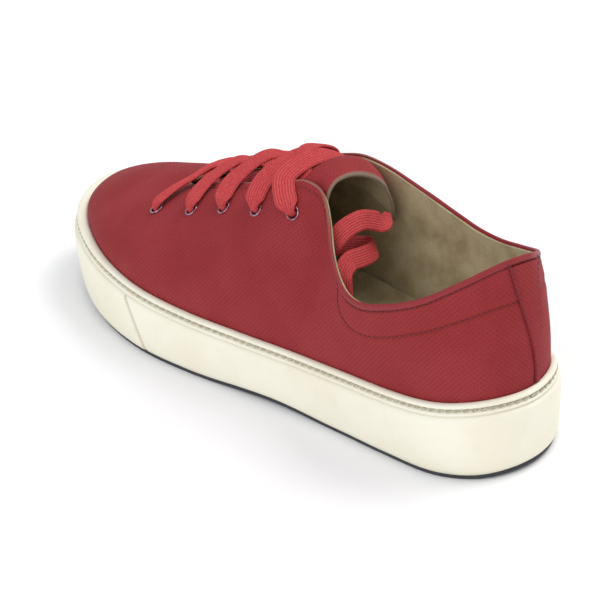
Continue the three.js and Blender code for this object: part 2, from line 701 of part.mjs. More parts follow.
// The stops of one strand: up one facing, over the throat and, where it lies on it, down the other.
function strandStops({ side, from, to, crown, onto }) {
  const up = new THREE.Vector3(...LACE.up);
  const start = EYELETS[from - 1];
  const end = EYELETS[to - 1];
  const stop = (row, at, along, below, lift) => {
    const place = facingPlace(at, THREE.MathUtils.lerp(start.y, end.y, along), row.fromEdge * below);
    const facing = place.normal.clone().lerp(up, 1 - below).normalize();
    return { point: place.point.addScaledVector(place.normal.lerp(up, 0.5 * (1 - below)), lift), facing };
  };
  const near = [[0, 1, LACE.lift], [0.1, 0.5, LACE.lift], [0.25, 0, LACE.edgeLift]];
  const over = [0.75, 0, LACE.edgeLift];
  const far = onto ? [over, [0.9, 0.5, LACE.lift], [1, 1, LACE.lift]] : [over];
  const rising = near.map(([along, below, lift]) => stop(start, side, along, below, lift));
  const falling = far.map(([along, below, lift]) => stop(end, -side, along, below, lift));
  const middle = rising[2].point.clone().lerp(falling[0].point, 0.5);
  middle.addScaledVector(up, crown - LACE.edgeLift);
  return [...rising, { point: middle, facing: up }, ...falling];
}

function laceCrossings() {
  const section = laceSection(LACE.thickness, 0);
  const strands = STRANDS.map((row) => solidOf(laceAlong(strandStops(row), section, LACE.steps)));
  return geometryFromSolid(strands.reduce((joined, strand) => joined.add(strand)));
}

function laceEnd() {
  const { thickness, chamfer, steps } = LACE_END_SIZE;
  const stops = LACE_END.map(({ x, y, z, facing }) => ({
    point: new THREE.Vector3(x, y, z),
    facing: new THREE.Vector3(...facing),
  }));
  return laceAlong(stops, laceSection(thickness, chamfer), steps);
}

// ---------------------------------------------------------------- insole
function insole() {
  const { inset, bevel, bowl, archLift, archFrom, archTo } = INSOLE;
  const lift = (angle) => {
    if (angle > Math.PI) return 0;
    const share = THREE.MathUtils.clamp((stationOf(angle) - archFrom) / (archTo - archFrom), 0, 1);
    return archLift * Math.sin(Math.PI * share) ** 2;
  };
  const bed = (angle) => footbedHeight(stationOf(angle));
  return platter([
    ANGLES.map((angle) => inPlan(angle, inset + bowl, bed(angle))),
    ANGLES.map((angle) => inPlan(angle, inset + bevel, bed(angle) + 0.6 + lift(angle))),
    ANGLES.map((angle) => inPlan(angle, inset, bed(angle) - bevel + lift(angle))),
    ANGLES.map((angle) => inPlan(angle, inset, cupFloor(angle) + GAP)),
  ]);
}

// ---------------------------------------------------------------- assembly
const FINISHES = {
  canvas: { color: 0x8e3439, roughness: 0.75, metalness: 0 },
  creamRubber: { color: 0xf2efdc, roughness: 0.5, metalness: 0 },
  darkRubber: { color: 0x3a3a3c, roughness: 0.8, metalness: 0 },
  lining: { color: 0x8a7f62, roughness: 0.95, metalness: 0 },
  lace: { color: 0xb0474a, roughness: 0.85, metalness: 0 },
  eyeletMetal: { color: 0xb9a5b4, roughness: 0.35, metalness: 0.9 },
};

// The bumper lengthens the shoe at the toe only, so the whole shoe is set back by half of its swell.
const sneaker = new THREE.Group();
sneaker.position.y = -BUMPER.swell / 2;

function addPiece(name, geometry, finish) {
  const mesh = new THREE.Mesh(geometry, new THREE.MeshStandardMaterial(FINISHES[finish]));
  mesh.name = name;
  sneaker.add(mesh);
}

addPiece("cupsole", cupsole(), "creamRubber");
addPiece("outsole", outsole(), "darkRubber");
addPiece("upper", upper(), "canvas");
addPiece("insole", insole(), "lining");
addPiece("tongue", tongue(), "canvas");
addPiece("heel_strip", heelStrip(), "canvas");
for (const place of eyeletPlaces) addPiece(`eyelet_${place.name}`, eyelet(place), "eyeletMetal");
addPiece("lace_crossings", laceCrossings(), "lace");
addPiece("lace_end", laceEnd(), "lace");

export default sneaker;
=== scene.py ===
"""The looks of a low canvas lace-up sneaker: a left shoe, empty, standing on its cupsole.

Tables and sizes are in the shoe's own millimetres: +Y runs from heel to toe, +X to the medial (big toe) side
and +Z up. Meshes are built in metres. The surfaces are worked out from the last, as the CAD solids are.
"""

import logging
import math
from dataclasses import dataclass
from enum import Enum
from typing import Optional, Sequence

import bpy
import numpy as np
from mathutils import Matrix


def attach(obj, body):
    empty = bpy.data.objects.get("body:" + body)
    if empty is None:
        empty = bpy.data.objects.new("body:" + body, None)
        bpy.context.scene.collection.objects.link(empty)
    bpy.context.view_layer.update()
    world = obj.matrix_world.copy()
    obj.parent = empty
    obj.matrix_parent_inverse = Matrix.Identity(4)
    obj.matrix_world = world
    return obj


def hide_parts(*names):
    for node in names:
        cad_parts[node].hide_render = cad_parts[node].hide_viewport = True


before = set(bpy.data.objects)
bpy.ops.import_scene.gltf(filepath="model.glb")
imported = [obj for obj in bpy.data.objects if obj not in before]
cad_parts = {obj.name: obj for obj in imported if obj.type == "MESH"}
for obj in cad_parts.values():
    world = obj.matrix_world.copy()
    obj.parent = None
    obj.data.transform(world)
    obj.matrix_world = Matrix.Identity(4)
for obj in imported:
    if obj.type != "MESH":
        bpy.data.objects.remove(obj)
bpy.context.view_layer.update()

LOG = logging.getLogger("sneaker")
MM = 0.001
TURN = 2 * math.pi
BODY = "root"
UP = np.array([0.0, 0.0, 1.0])
TOEWARDS = np.array([0.0, 1.0, 0.0])
SET_BACK = np.array([0.0, -1.2, 0.0])  # keeps the origin under the middle, as the toe bumper adds length
CLEARANCE = 0.3  # the gap that a piece keeps to the one it rests on


class Side(Enum):
    """A side of the shoe, with the sign that the tables use."""

    LATERAL = -1
    MEDIAL = 1

    @property
    def other(self) -> "Side":
        """The side across the shoe."""
        return Side(-self.value)


def table(columns: str, *rows: tuple) -> tuple[dict, ...]:
    """Rows as dictionaries, from the names of their columns."""
    names = columns.split()
    return tuple(dict(zip(names, row)) for row in rows)


# ------------------------------------------------------------------------------------------ tables
# Widest edge of the cupsole: station is the share of the length from the heel.
OUTLINE = table(
    "station lateral medial",
    (0.05, -28.6, 24.4),
    (0.1, -35.3, 30.3),
    (0.2, -37.8, 31.4),
    (0.3, -38.2, 30.4),
    (0.4, -39.4, 29.3),
    (0.5, -42.4, 30.1),
    (0.6, -45.6, 34.8),
    (0.7, -46.2, 42.0),
    (0.8, -40.9, 46.2),
    (0.9, -28.2, 40.8),
    (0.96, -14.6, 30.8),
)

# Height of the rim where canvas meets rubber, and of the footbed inside.
HEIGHTS = table(
    "station rim footbed",
    (0.0, 37.0, 36.0),
    (0.1, 33.6, 34.0),
    (0.2, 30.6, 32.5),
    (0.45, 28.0, 30.5),
    (0.72, 29.8, 29.5),
    (1.0, 33.4, 32.0),
)

# The upper's open edge: collar, facings and the end of the throat. side 1 is medial, -1 lateral.
OPENING = table(
    "side station x y z",
    (1, 0.0, -3.3, -125.2, 94.7),
    (1, 0.035, 8.1, -122.4, 90.6),
    (1, 0.08, 17.6, -114.9, 84.7),
    (1, 0.13, 23.7, -101.1, 78.9),
    (1, 0.18, 27.9, -85.9, 74.5),
    (1, 0.23, 30.8, -72.1, 73.0),
    (1, 0.28, 32.7, -59.6, 73.9),
    (1, 0.33, 32.8, -47.1, 76.8),
    (1, 0.375, 30.3, -35.7, 81.9),
    (1, 0.41, 26.2, -27.5, 87.6),
    (1, 0.45, 20.7, -19.5, 92.5),
    (1, 0.5, 19.2, -6.8, 89.7),
    (1, 0.57, 17.9, 13.9, 80.8),
    (1, 0.65, 16.2, 35.6, 71.2),
    (1, 0.75, 13.8, 53.2, 63.6),
    (1, 0.88, 10.4, 62.9, 59.4),
    (1, 1.0, 5.2, 66.8, 57.8),
    (-1, 0.86, -0.6, 64.8, 58.5),
    (-1, 0.74, -4.9, 55.1, 63.2),
    (-1, 0.64, -7.4, 38.2, 71.1),
    (-1, 0.56, -9.3, 15.9, 79.8),
    (-1, 0.49, -10.5, -4.2, 88.3),
    (-1, 0.44, -11.1, -17.2, 92.6),
    (-1, 0.4, -12.9, -26.9, 90.7),
    (-1, 0.37, -16.7, -32.8, 83.2),
    (-1, 0.34, -22.7, -39.6, 74.7),
    (-1, 0.29, -30.5, -51.7, 67.3),
    (-1, 0.23, -34.6, -65.9, 65.3),
    (-1, 0.18, -33.7, -79.7, 69.0),
    (-1, 0.13, -30.3, -94.8, 75.5),
    (-1, 0.08, -23.9, -109.3, 85.0),
    (-1, 0.035, -14.4, -119.7, 92.3),
)

# How each meridian leaves the rim (rise, flare) and reaches the open edge (reach, drop).
FORM = table(
    "side station rise flare reach drop",
    (1, 0.0, 20.1, 1.6, 0.5, 22.0),
    (1, 0.1, 18.1, 1.5, 4.0, 18.0),
    (1, 0.25, 15.0, 4.2, 2.0, 14.0),
    (1, 0.38, 20.9, 5.9, 2.4, 17.0),
    (1, 0.5, 24.7, 7.0, 11.0, 9.1),
    (1, 0.62, 20.1, 5.0, 16.7, 7.3),
    (1, 0.75, 12.7, 3.4, 22.2, 4.7),
    (1, 0.88, 6.5, 1.5, 23.5, 5.0),
    (1, 1.0, 5.0, 0.6, 28.1, 2.0),
    (-1, 0.88, 8.3, 1.9, 26.5, 3.5),
    (-1, 0.75, 13.0, 3.0, 23.8, 5.2),
    (-1, 0.62, 17.6, 4.0, 19.9, 8.1),
    (-1, 0.5, 21.9, 4.0, 15.0, 10.0),
    (-1, 0.38, 20.9, 3.5, 4.0, 17.0),
    (-1, 0.25, 13.0, 2.5, 0.9, 12.0),
    (-1, 0.1, 17.0, 2.3, 0.6, 18.0),
)

# Cross-section of the cupsole's edge, from where it meets the canvas, over the lip, the stitched groove and
# the ridge, to the shoulder where the plain wall starts.
SIDEWALL = table(
    "part inset below",
    ("meets the canvas", 4.12, 0.9),
    ("lip inner edge", 3.95, 0.2),
    ("lip top", 3.4, -0.02),
    ("lip top", 2.5, 0.05),
    ("lip turn", 1.75, 0.4),
    ("lip side", 1.4, 1.0),
    ("lip foot", 1.4, 1.6),
    ("groove top", 1.75, 2.0),
    ("groove bed", 2.2, 2.3),
    ("groove bed", 2.2, 3.0),
    ("groove foot", 1.7, 3.4),
    ("ridge turn", 1.1, 3.7),
    ("ridge", 0.85, 4.1),
    ("ridge", 0.9, 4.6),
    ("fine groove", 1.3, 5.0),
    ("fine groove", 1.25, 5.3),
    ("shoulder turn", 0.65, 5.6),
    ("shoulder", 0.28, 6.2),
    ("shoulder", 0.08, 7.0),
    ("shoulder", 0.0, 8.2),
)

# Eyelets, from the toe end of the throat to the collar: how far along the shoe each pair lies, and how far
# below the facing's edge.
EYELETS = table(
    "pair y from_edge",
    (1, 64.0, 19.5),
    (2, 42.5, 16.0),
    (3, 24.2, 13.3),
    (4, 4.1, 13.7),
    (5, -15.5, 14.0),
)

# The lace's strands over the throat. side, start and end say which eyelet a strand comes out of and which
# pair it goes to. width is its width over the throat, crown the height of its middle over the line between
# the facings' edges, lean how far it swings to the toe on its way up, and roll its twist in degrees.
STRANDS = table(
    "side start end width crown lean roll",
    (1, 1, 2, 7.4, 3.2, 1.0, -10.0),
    (-1, 1, 2, 6.6, 4.8, 0.0, 0.0),
    (1, 2, 3, 7.6, 4.2, 2.0, -10.0),
    (-1, 2, 3, 7.4, 5.9, 4.5, -14.0),
    (1, 3, 4, 7.8, 5.2, 3.0, -10.0),
    (-1, 3, 4, 8.2, 7.0, 7.0, -22.0),
    (-1, 4, 5, 8.8, 6.4, 6.5, -28.0),
    (1, 4, 5, 8.4, 7.9, 2.0, -12.0),
    (-1, 5, 5, 9.4, 5.2, 10.0, -34.0),
)

# The lace's loose end, tucked into the collar behind the tongue: places on its middle line, and facing, the
# way its flat side looks.
LACE_END = table(
    "x y z facing",
    (15.6, -34.8, 73.0, (0.1, -0.2, 0.97)),
    (12.4, -36.6, 72.0, (-0.1, -0.35, 0.9)),
    (9.4, -38.0, 72.6, (-0.3, -0.55, 0.7)),
    (3.6, -37.6, 76.0, (-0.5, -0.6, 0.6)),
    (-1.8, -37.0, 78.0, (-0.5, -0.65, 0.5)),
    (-8.6, -35.6, 77.0, (-0.5, -0.65, 0.5)),
    (-12.6, -35.0, 75.2, (-0.6, -0.6, 0.4)),
    (-15.6, -33.6, 71.6, (-0.95, -0.2, 0.2)),
    (-14.2, -30.4, 68.0, (-0.2, 0.85, -0.4)),
    (-8.6, -29.4, 66.8, (0.4, 0.75, -0.5)),
    (-2.0, -29.4, 63.6, (0.4, 0.75, -0.5)),
    (5.0, -31.4, 61.0, (0.7, 0.5, -0.4)),
    (6.6, -35.6, 61.6, (0.9, -0.3, 0.1)),
    (2.0, -39.0, 62.4, (-0.1, -0.9, 0.4)),
    (-5.6, -40.6, 64.0, (-0.4, -0.75, 0.5)),
    (-14.0, -41.6, 65.6, (-0.4, -0.75, 0.5)),
    (-20.0, -43.4, 63.0, (-0.5, -0.7, 0.2)),
    (-22.6, -45.4, 55.6, (-0.7, -0.6, 0.0)),
    (-24.6, -46.4, 48.0, (-0.8, -0.5, 0.0)),
)

# The seam that shows where the heel counter ends, as turns (radians from the heel, lateral negative) and the
# share of the way from the rim to the open edge.
COUNTER_SEAM = table(
    "turn share",
    (-1.152, 0.955),
    (-1.15, 0.78),
    (-1.126, 0.67),
    (-1.06, 0.6),
    (-0.96, 0.61),
    (-0.873, 0.64),
    (-0.794, 0.675),
    (-0.7, 0.69),
    (-0.4, 0.69),
    (0.0, 0.69),
    (0.214, 0.685),
    (0.45, 0.73),
    (0.75, 0.73),
    (0.903, 0.72),
    (1.1, 0.66),
    (1.2, 0.72),
    (1.24, 0.955),
)

# Soft creases of the worn-in canvas: a trough when depth is positive and a ridge when it is negative. They
# run from one end to the other, each end given as turn and share.
CREASES = table(
    "turn share turn_to share_to width depth",
    (-2.02, 0.36, -1.72, 0.72, 6.0, 0.35),
    (-1.86, 0.28, -1.6, 0.55, 7.0, 0.3),
    (-2.35, 0.42, -2.1, 0.82, 6.0, 0.3),
    (-1.3, 0.35, -1.18, 0.8, 5.0, 0.3),
    (2.3, 0.42, 2.0, 0.8, 6.0, 0.35),
    (2.0, 0.3, 1.72, 0.65, 7.0, 0.3),
    (-2.62, 0.62, -2.9, 0.7, 7.0, 0.25),
    (2.75, 0.6, 3.0, 0.7, 7.0, 0.25),
    (-0.62, 0.45, -0.3, 0.4, 6.0, -0.2),
)

# Half a section of an eyelet, from its axis: barrel, flange and rolled rim over the canvas.
EYELET_PROFILE = (
    (2.1, -1.9), (2.5, -1.9), (2.55, -0.1), (2.7, 0.02), (2.95, 0.02), (3.1, 0.15),
    (3.08, 0.35), (2.9, 0.55), (2.6, 0.62), (2.35, 0.5), (2.15, 0.2), (2.1, -0.1),
)

# Section of the outsole's edge: share of its height, and how far it lies inside the wall's foot.
TREAD_EDGE = table(
    "share inset",
    (0.0, 1.7),
    (0.12, 1.35),
    (0.3, 1.3),
    (0.9, 1.3),
    (1.0, 1.5),
)

# Section of the insole from its foot to its middle: distance in from its edge, height over the footbed, and
# the share of the arch's lift that it takes.
SOCK_SECTION = table(
    "inset height lift",
    (0.0, -9.0, 0.0),
    (0.0, -1.6, 1.0),
    (0.3, -0.4, 1.0),
    (1.2, 0.5, 1.0),
    (3.0, 0.55, 0.8),
    (6.0, 0.2, 0.35),
    (9.0, 0.0, 0.05),
    (14.0, -0.1, 0.0),
    (20.0, -0.1, 0.0),
)

# The studio's soft boxes: places and sizes in metres, power in watts.
SOFTBOXES = table(
    "name place size watts tint",
    ("key_softbox", (1.0, -0.4, 1.7), 1.1, 21.0, "#fffdf8"),
    ("fill_softbox", (-1.7, -0.3, 1.2), 1.6, 15.0, "#fcfcff"),
)


# ------------------------------------------------------------------------------------------ curves
def hermite(a: np.ndarray, b: np.ndarray, slope_a: np.ndarray, slope_b: np.ndarray, width: np.ndarray,
            share: np.ndarray) -> np.ndarray:
    """A cubic between two values with given slopes.

    Args:
        a, b: values at the two ends.
        slope_a, slope_b: slopes at the two ends.
        width: the distance between the ends.
        share: how far along, from 0 to 1.

    Returns:
        The values there.
    """
    s2 = share * share
    s3 = s2 * share
    start = (2 * s3 - 3 * s2 + 1) * a + (s3 - 2 * s2 + share) * width * slope_a
    return start + (3 * s2 - 2 * s3) * b + (s3 - s2) * width * slope_b


class LoopCurve:
    """A smooth closed curve through rows of an angle and some values."""

    def __init__(self, angles: Sequence[float], values: Sequence[Sequence[float]]) -> None:
        """Keeps the rows with two more on each side, so that the curve closes.

        Args:
            angles: the angle of each row, growing.
            values: the values of each row.
        """
        angle = np.asarray(angles, float)
        value = np.asarray(values, float)
        self.angle = np.r_[angle[-2:] - TURN, angle, angle[:2] + TURN]
        self.value = np.vstack([value[-2:], value, value[:2]])
        width = np.diff(self.angle)
        secant = np.diff(self.value, axis=0) / width[:, None]
        self.slope = np.zeros_like(self.value)
        weighted = secant[:-1] * width[1:, None] + secant[1:] * width[:-1, None]
        self.slope[1:-1] = weighted / (width[:-1] + width[1:])[:, None]

    def __call__(self, at: np.ndarray) -> np.ndarray:
        """The values at some angles.

        Args:
            at: the angles.

        Returns:
            One row of values for each.
        """
        turned = np.mod(at, TURN)
        i = np.clip(np.searchsorted(self.angle, turned, side="right") - 1, 1, len(self.angle) - 3)
        width = (self.angle[i + 1] - self.angle[i])[:, None]
        share = (turned - self.angle[i])[:, None] / width
        return hermite(self.value[i], self.value[i + 1], self.slope[i], self.slope[i + 1], width, share)


class StationCurve:
    """A smooth curve along the shoe, flat at both ends."""

    def __init__(self, rows: Sequence[dict], column: str) -> None:
        """Reads one column of a table with a station column.

        Args:
            rows: the table.
            column: the column's name.
        """
        self.station = np.array([row["station"] for row in rows])
        self.value = np.array([row[column] for row in rows])
        self.slope = np.zeros(len(rows))
        rise = self.value[2:] - self.value[:-2]
        self.slope[1:-1] = rise / (self.station[2:] - self.station[:-2])

    def __call__(self, at: np.ndarray) -> np.ndarray:
        """The values at some stations.

        Args:
            at: the stations.

        Returns:
            One value for each.
        """
        i = np.clip(np.searchsorted(self.station, at, side="right") - 1, 0, len(self.station) - 2)
        width = self.station[i + 1] - self.station[i]
        share = np.clip((at - self.station[i]) / width, 0, 1)
        return hermite(self.value[i], self.value[i + 1], self.slope[i], self.slope[i + 1], width, share)


def unit(vectors: np.ndarray) -> np.ndarray:
    """The vectors at length one."""
    return vectors / np.linalg.norm(vectors, axis=-1, keepdims=True)


def running(line: np.ndarray) -> np.ndarray:
    """The distance run along a line of points, at each of them."""
    return np.r_[0, np.cumsum(np.linalg.norm(np.diff(line, axis=0), axis=1))]


def bell(distance: np.ndarray, width: float) -> np.ndarray:
    """A soft bump: 1 at no distance, falling to nothing past a width."""
    return np.exp(-((distance / width) ** 2))


def smooth_path(stops: np.ndarray, count: int) -> np.ndarray:
    """Even steps along a smooth curve through some stops.

    Args:
        stops: the values at the stops, whose first three columns are places.
        count: the number of steps.

    Returns:
        count + 1 rows with the same columns.
    """
    gaps = np.linalg.norm(np.diff(stops[:, :3], axis=0), axis=1) ** 0.5
    knots = np.r_[0, np.cumsum(gaps)]
    slope = np.zeros_like(stops)
    width = np.diff(knots)[:, None]
    secant = np.diff(stops, axis=0) / width
    slope[1:-1] = (secant[:-1] * width[1:] + secant[1:] * width[:-1]) / (width[:-1] + width[1:])
    slope[0] = secant[0]
    slope[-1] = secant[-1]
    fine = np.linspace(0, knots[-1], 40 * len(stops))
    i = np.clip(np.searchsorted(knots, fine, side="right") - 1, 0, len(stops) - 2)
    share = (fine - knots[i])[:, None] / width[i]
    curve = hermite(stops[i], stops[i + 1], slope[i], slope[i + 1], width[i], share)
    run = running(curve[:, :3])
    even = np.linspace(0, run[-1], count + 1)
    return np.column_stack([np.interp(even, run, column) for column in curve.T])


def angle_of(side: Side, station: float) -> float:
    """The angle of a station: 0 at the heel, half a turn at the toe, growing along the medial side."""
    half = math.acos(1 - 2 * station)
    return half if side is Side.MEDIAL else TURN - half


def station_of(angle: np.ndarray) -> np.ndarray:
    """The station of an angle."""
    return (1 - np.cos(angle)) / 2


# ------------------------------------------------------------------------------------------ the last
@dataclass
class Last:
    """The shoe's own surfaces: the sole's plan, the canvas shaped on the last, and places on it."""

    length: float = 265.0
    heel_x: float = -2.3
    toe_x: float = 11.5
    canvas_inset: float = 4.1
    outsole_thickness: float = 2.2
    outsole_skive: float = 1.1
    bumper_swell: float = 2.4
    bumper_from: float = 0.72
    toe_spring: float = 5.6
    toe_from: float = 0.7
    heel_spring: float = 2.0
    heel_to: float = 0.07
    arch: float = 1.2
    arch_from: float = 0.3
    arch_to: float = 0.58
    undercut_side: float = 0.2
    undercut_heel: float = 2.2
    undercut_heel_to: float = 0.15
    undercut_toe: float = 4.2
    undercut_toe_from: float = 0.75
    step: float = 0.01
    rim_weight: float = 0.6
    facing_from: float = 0.37
    facing_to: float = 0.97
    plan_samples: int = 4001
    line_samples: int = 161
    halvings: int = 30

    def __post_init__(self) -> None:
        """Builds the curves through the tables."""
        rows = [(0.0, self.heel_x)]
        rows += [(angle_of(Side.MEDIAL, row["station"]), row["medial"]) for row in OUTLINE]
        rows += [(math.pi, self.toe_x)]
        rows += [(angle_of(Side.LATERAL, row["station"]), row["lateral"]) for row in reversed(OUTLINE)]
        self.outline_x = LoopCurve([row[0] for row in rows], [[row[1]] for row in rows])
        angles = [angle_of(Side(row["side"]), row["station"]) for row in OPENING]
        self.opening = LoopCurve(angles, [[row["x"], row["y"], row["z"]] for row in OPENING])
        angles = [angle_of(Side(row["side"]), row["station"]) for row in FORM]
        columns = ("rise", "flare", "reach", "drop")
        self.form = LoopCurve(angles, [[row[column] for column in columns] for row in FORM])
        self.rim = StationCurve(HEIGHTS, "rim")
        self.footbed = StationCurve(HEIGHTS, "footbed")

    def plan(self, angle: np.ndarray) -> np.ndarray:
        """The sole's widest edge, as x and y."""
        return np.column_stack([self.outline_x(angle)[:, 0], -np.cos(angle) * self.length / 2])

    def outward(self, angle: np.ndarray) -> np.ndarray:
        """The way out of the sole's edge, level."""
        along = self.plan(angle + self.step) - self.plan(angle - self.step)
        return unit(np.column_stack([along[:, 1], -along[:, 0], np.zeros(len(along))]))

    def in_plan(self, angle: np.ndarray, inset: np.ndarray | float,
                height: np.ndarray | float) -> np.ndarray:
        """Points inside the sole's edge by an inset, at a height."""
        flat = np.column_stack([self.plan(angle), np.broadcast_to(height, angle.shape)])
        return flat - self.outward(angle) * np.reshape(inset, (-1, 1))

    def floor(self, y: np.ndarray) -> np.ndarray:
        """Height of the outsole's face over the floor: two flat spots, a low arch and two springs.

        Args:
            y: places along the shoe.

        Returns:
            The height at each.
        """
        station = np.clip(y / self.length + 0.5, 0, 1)
        toe = np.maximum(0, (station - self.toe_from) / (1 - self.toe_from))
        heel = np.maximum(0, (self.heel_to - station) / self.heel_to)
        waist = np.clip((station - self.arch_from) / (self.arch_to - self.arch_from), 0, 1)
        return self.toe_spring * toe**2 + self.heel_spring * heel**2 + self.arch * np.sin(np.pi * waist) ** 2

    def outsole_top(self, y: np.ndarray) -> np.ndarray:
        """Height of the outsole's upper face, skived thinner towards the toe.

        Args:
            y: places along the shoe.

        Returns:
            The height at each.
        """
        station = np.clip(y / self.length + 0.5, 0, 1)
        toe = np.maximum(0, (station - self.bumper_from) / (1 - self.bumper_from))
        return self.floor(y) + self.outsole_thickness - self.outsole_skive * toe**2

    def swell(self, angle: np.ndarray) -> np.ndarray:
        """How far the toe bumper stands out past the sole's plan."""
        share = np.clip((station_of(angle) - self.bumper_from) / (1 - self.bumper_from), 0, 1)
        return self.bumper_swell * share * share * (3 - 2 * share)

    def foot_inset(self, angle: np.ndarray) -> np.ndarray:
        """How far the wall's foot lies in from the sole's plan, with the bumper."""
        return self.undercut(angle) - self.swell(angle)

    def undercut(self, angle: np.ndarray) -> np.ndarray:
        """How far the wall's foot lies in from the sole's widest edge.

        Args:
            angle: the meridians.

        Returns:
            The distance at each.
        """
        station = station_of(angle)
        heel = np.maximum(0, (self.undercut_heel_to - station) / self.undercut_heel_to)
        toe = np.maximum(0, (station - self.undercut_toe_from) / (1 - self.undercut_toe_from))
        return self.undercut_side + self.undercut_heel * heel**2 + self.undercut_toe * toe**2

    def canvas(self, angle: np.ndarray, share: np.ndarray) -> np.ndarray:
        """The outer canvas: share 0 is at the rim and 1 at the open edge.

        Args:
            angle: the meridians, n of them.
            share: k shares for all meridians, or an array of k by n.

        Returns:
            Points, k by n by 3.
        """
        outward = self.outward(angle)
        low = self.in_plan(angle, self.canvas_inset, self.rim(station_of(angle)))
        edge = self.opening(angle)
        form = self.form(angle)
        rising = low + outward * form[:, 1:2] + UP * form[:, 0:1]
        falling = edge + outward * form[:, 2:3] - UP * form[:, 3:4]
        s = (share[:, None] if share.ndim == 1 else share)[..., None]
        r = 1 - s
        return r**3 * low + 3 * r**2 * s * rising + 3 * r * s**2 * falling + s**3 * edge

    def normal(self, angle: np.ndarray, share: np.ndarray) -> np.ndarray:
        """The canvas's outward normals, shaped as canvas() gives its points.

        Args:
            angle: the meridians.
            share: the shares, as canvas() takes them.

        Returns:
            Unit vectors.
        """
        across = self.canvas(angle + self.step, share) - self.canvas(angle - self.step, share)
        over, under = np.minimum(1, share + self.step), np.maximum(0, share - self.step)
        return unit(np.cross(across, self.canvas(angle, over) - self.canvas(angle, under)))

    def off(self, angle: np.ndarray, share: np.ndarray, distance: np.ndarray | float) -> np.ndarray:
        """Points off the canvas by a distance along its normal."""
        return self.canvas(angle, share) + self.normal(angle, share) * distance

    def meridians(self, count: int) -> np.ndarray:
        """Angles spaced by the length that they cut from the rim and from the open edge.

        Args:
            count: how many angles.

        Returns:
            The angles, growing from the heel.
        """
        angle = np.linspace(0, TURN, self.plan_samples)
        rim = np.linalg.norm(np.diff(self.plan(angle), axis=0), axis=1)
        edge = np.linalg.norm(np.diff(self.opening(angle), axis=0), axis=1)
        run = np.r_[0, np.cumsum(self.rim_weight * rim + (1 - self.rim_weight) * edge)]
        return np.interp(np.linspace(0, run[-1], count, endpoint=False), run, angle)

    def share_below(self, angle: float, distance: np.ndarray) -> np.ndarray:
        """The shares at which a meridian lies so far below the open edge.

        Args:
            angle: the meridian.
            distance: one or more distances.

        Returns:
            A share for each.
        """
        share = np.linspace(1, 0, self.line_samples)
        line = self.canvas(np.array([angle]), share)[:, 0]
        return np.interp(distance, running(line), share)

    def below_edge(self, angle: np.ndarray, distance: float) -> np.ndarray:
        """For each meridian, the share that lies one distance below the open edge."""
        return np.array([self.share_below(a, distance) for a in angle])

    def facing_place(self, side: Side, y: float, from_edge: float) -> tuple[np.ndarray, np.ndarray]:
        """The point and normal of the canvas so far along the shoe and so far below the facing's edge.

        Args:
            side: the side of the throat.
            y: the place along the shoe.
            from_edge: the distance below the facing's edge.

        Returns:
            The point and the unit normal.
        """
        low, high = angle_of(side, self.facing_from - 0.01), angle_of(side, self.facing_to)
        for _ in range(self.halvings - 4):
            middle = np.array([(low + high) / 2])
            share = np.array([self.share_below(middle[0], from_edge)])
            if self.canvas(middle, share)[0, 0, 1] < y:
                low = middle[0]
            else:
                high = middle[0]
        return self.canvas(middle, share)[0, 0], self.normal(middle, share)[0, 0]

    def edge_angle(self, side: Side, y: float) -> float:
        """The angle on one side at which the open edge stands at y.

        Args:
            side: the side of the throat.
            y: the place along the shoe.

        Returns:
            The angle.
        """
        low, high = angle_of(side, self.facing_from), angle_of(side, self.facing_to)
        for _ in range(self.halvings):
            middle = (low + high) / 2
            if self.opening(np.array([middle]))[0, 1] < y:
                low = middle
            else:
                high = middle
        return (low + high) / 2


# ------------------------------------------------------------------------------------------ meshes
def quads(rings: int, size: int, round_ring: bool, round_loft: bool) -> np.ndarray:
    """Faces of a grid of rings.

    Args:
        rings: how many rings.
        size: points in each ring.
        round_ring: each ring closes on itself.
        round_loft: the last ring joins the first.

    Returns:
        Four indices for each face.
    """
    r = np.arange(rings if round_loft else rings - 1)[:, None]
    p = np.arange(size if round_ring else size - 1)[None, :]
    after = (r + 1) % rings
    beside = (p + 1) % size
    corners = [r * size + p, r * size + beside, after * size + beside, after * size + p]
    return np.stack([np.broadcast_to(c, (r.shape[0], p.shape[1])) for c in corners], axis=-1).reshape(-1, 4)


def across_ring(size: int, first: int, upwards: bool) -> np.ndarray:
    """A strip of quads over a ring's face, from side to side.

    Args:
        size: points in the ring.
        first: the index of its first point.
        upwards: the strip faces up, on a ring that runs anticlockwise.

    Returns:
        Four indices for each face.
    """
    i = np.arange(size // 2 - 1)
    j = size - 1 - i
    face = np.stack([i, i + 1, j - 1, j], axis=-1) + first
    return face if upwards else face[:, ::-1]


def capped(rings: int, size: int) -> list[np.ndarray]:
    """Faces of a loft of closed rings, closed at its first and last ring."""
    ends = [across_ring(size, 0, False), across_ring(size, (rings - 1) * size, True)]
    return [quads(rings, size, True, False), *ends]


def metres(points: np.ndarray) -> np.ndarray:
    """Points of the tables' frame, in the shoe's own frame and in metres."""
    return (np.asarray(points, float) + SET_BACK) * MM


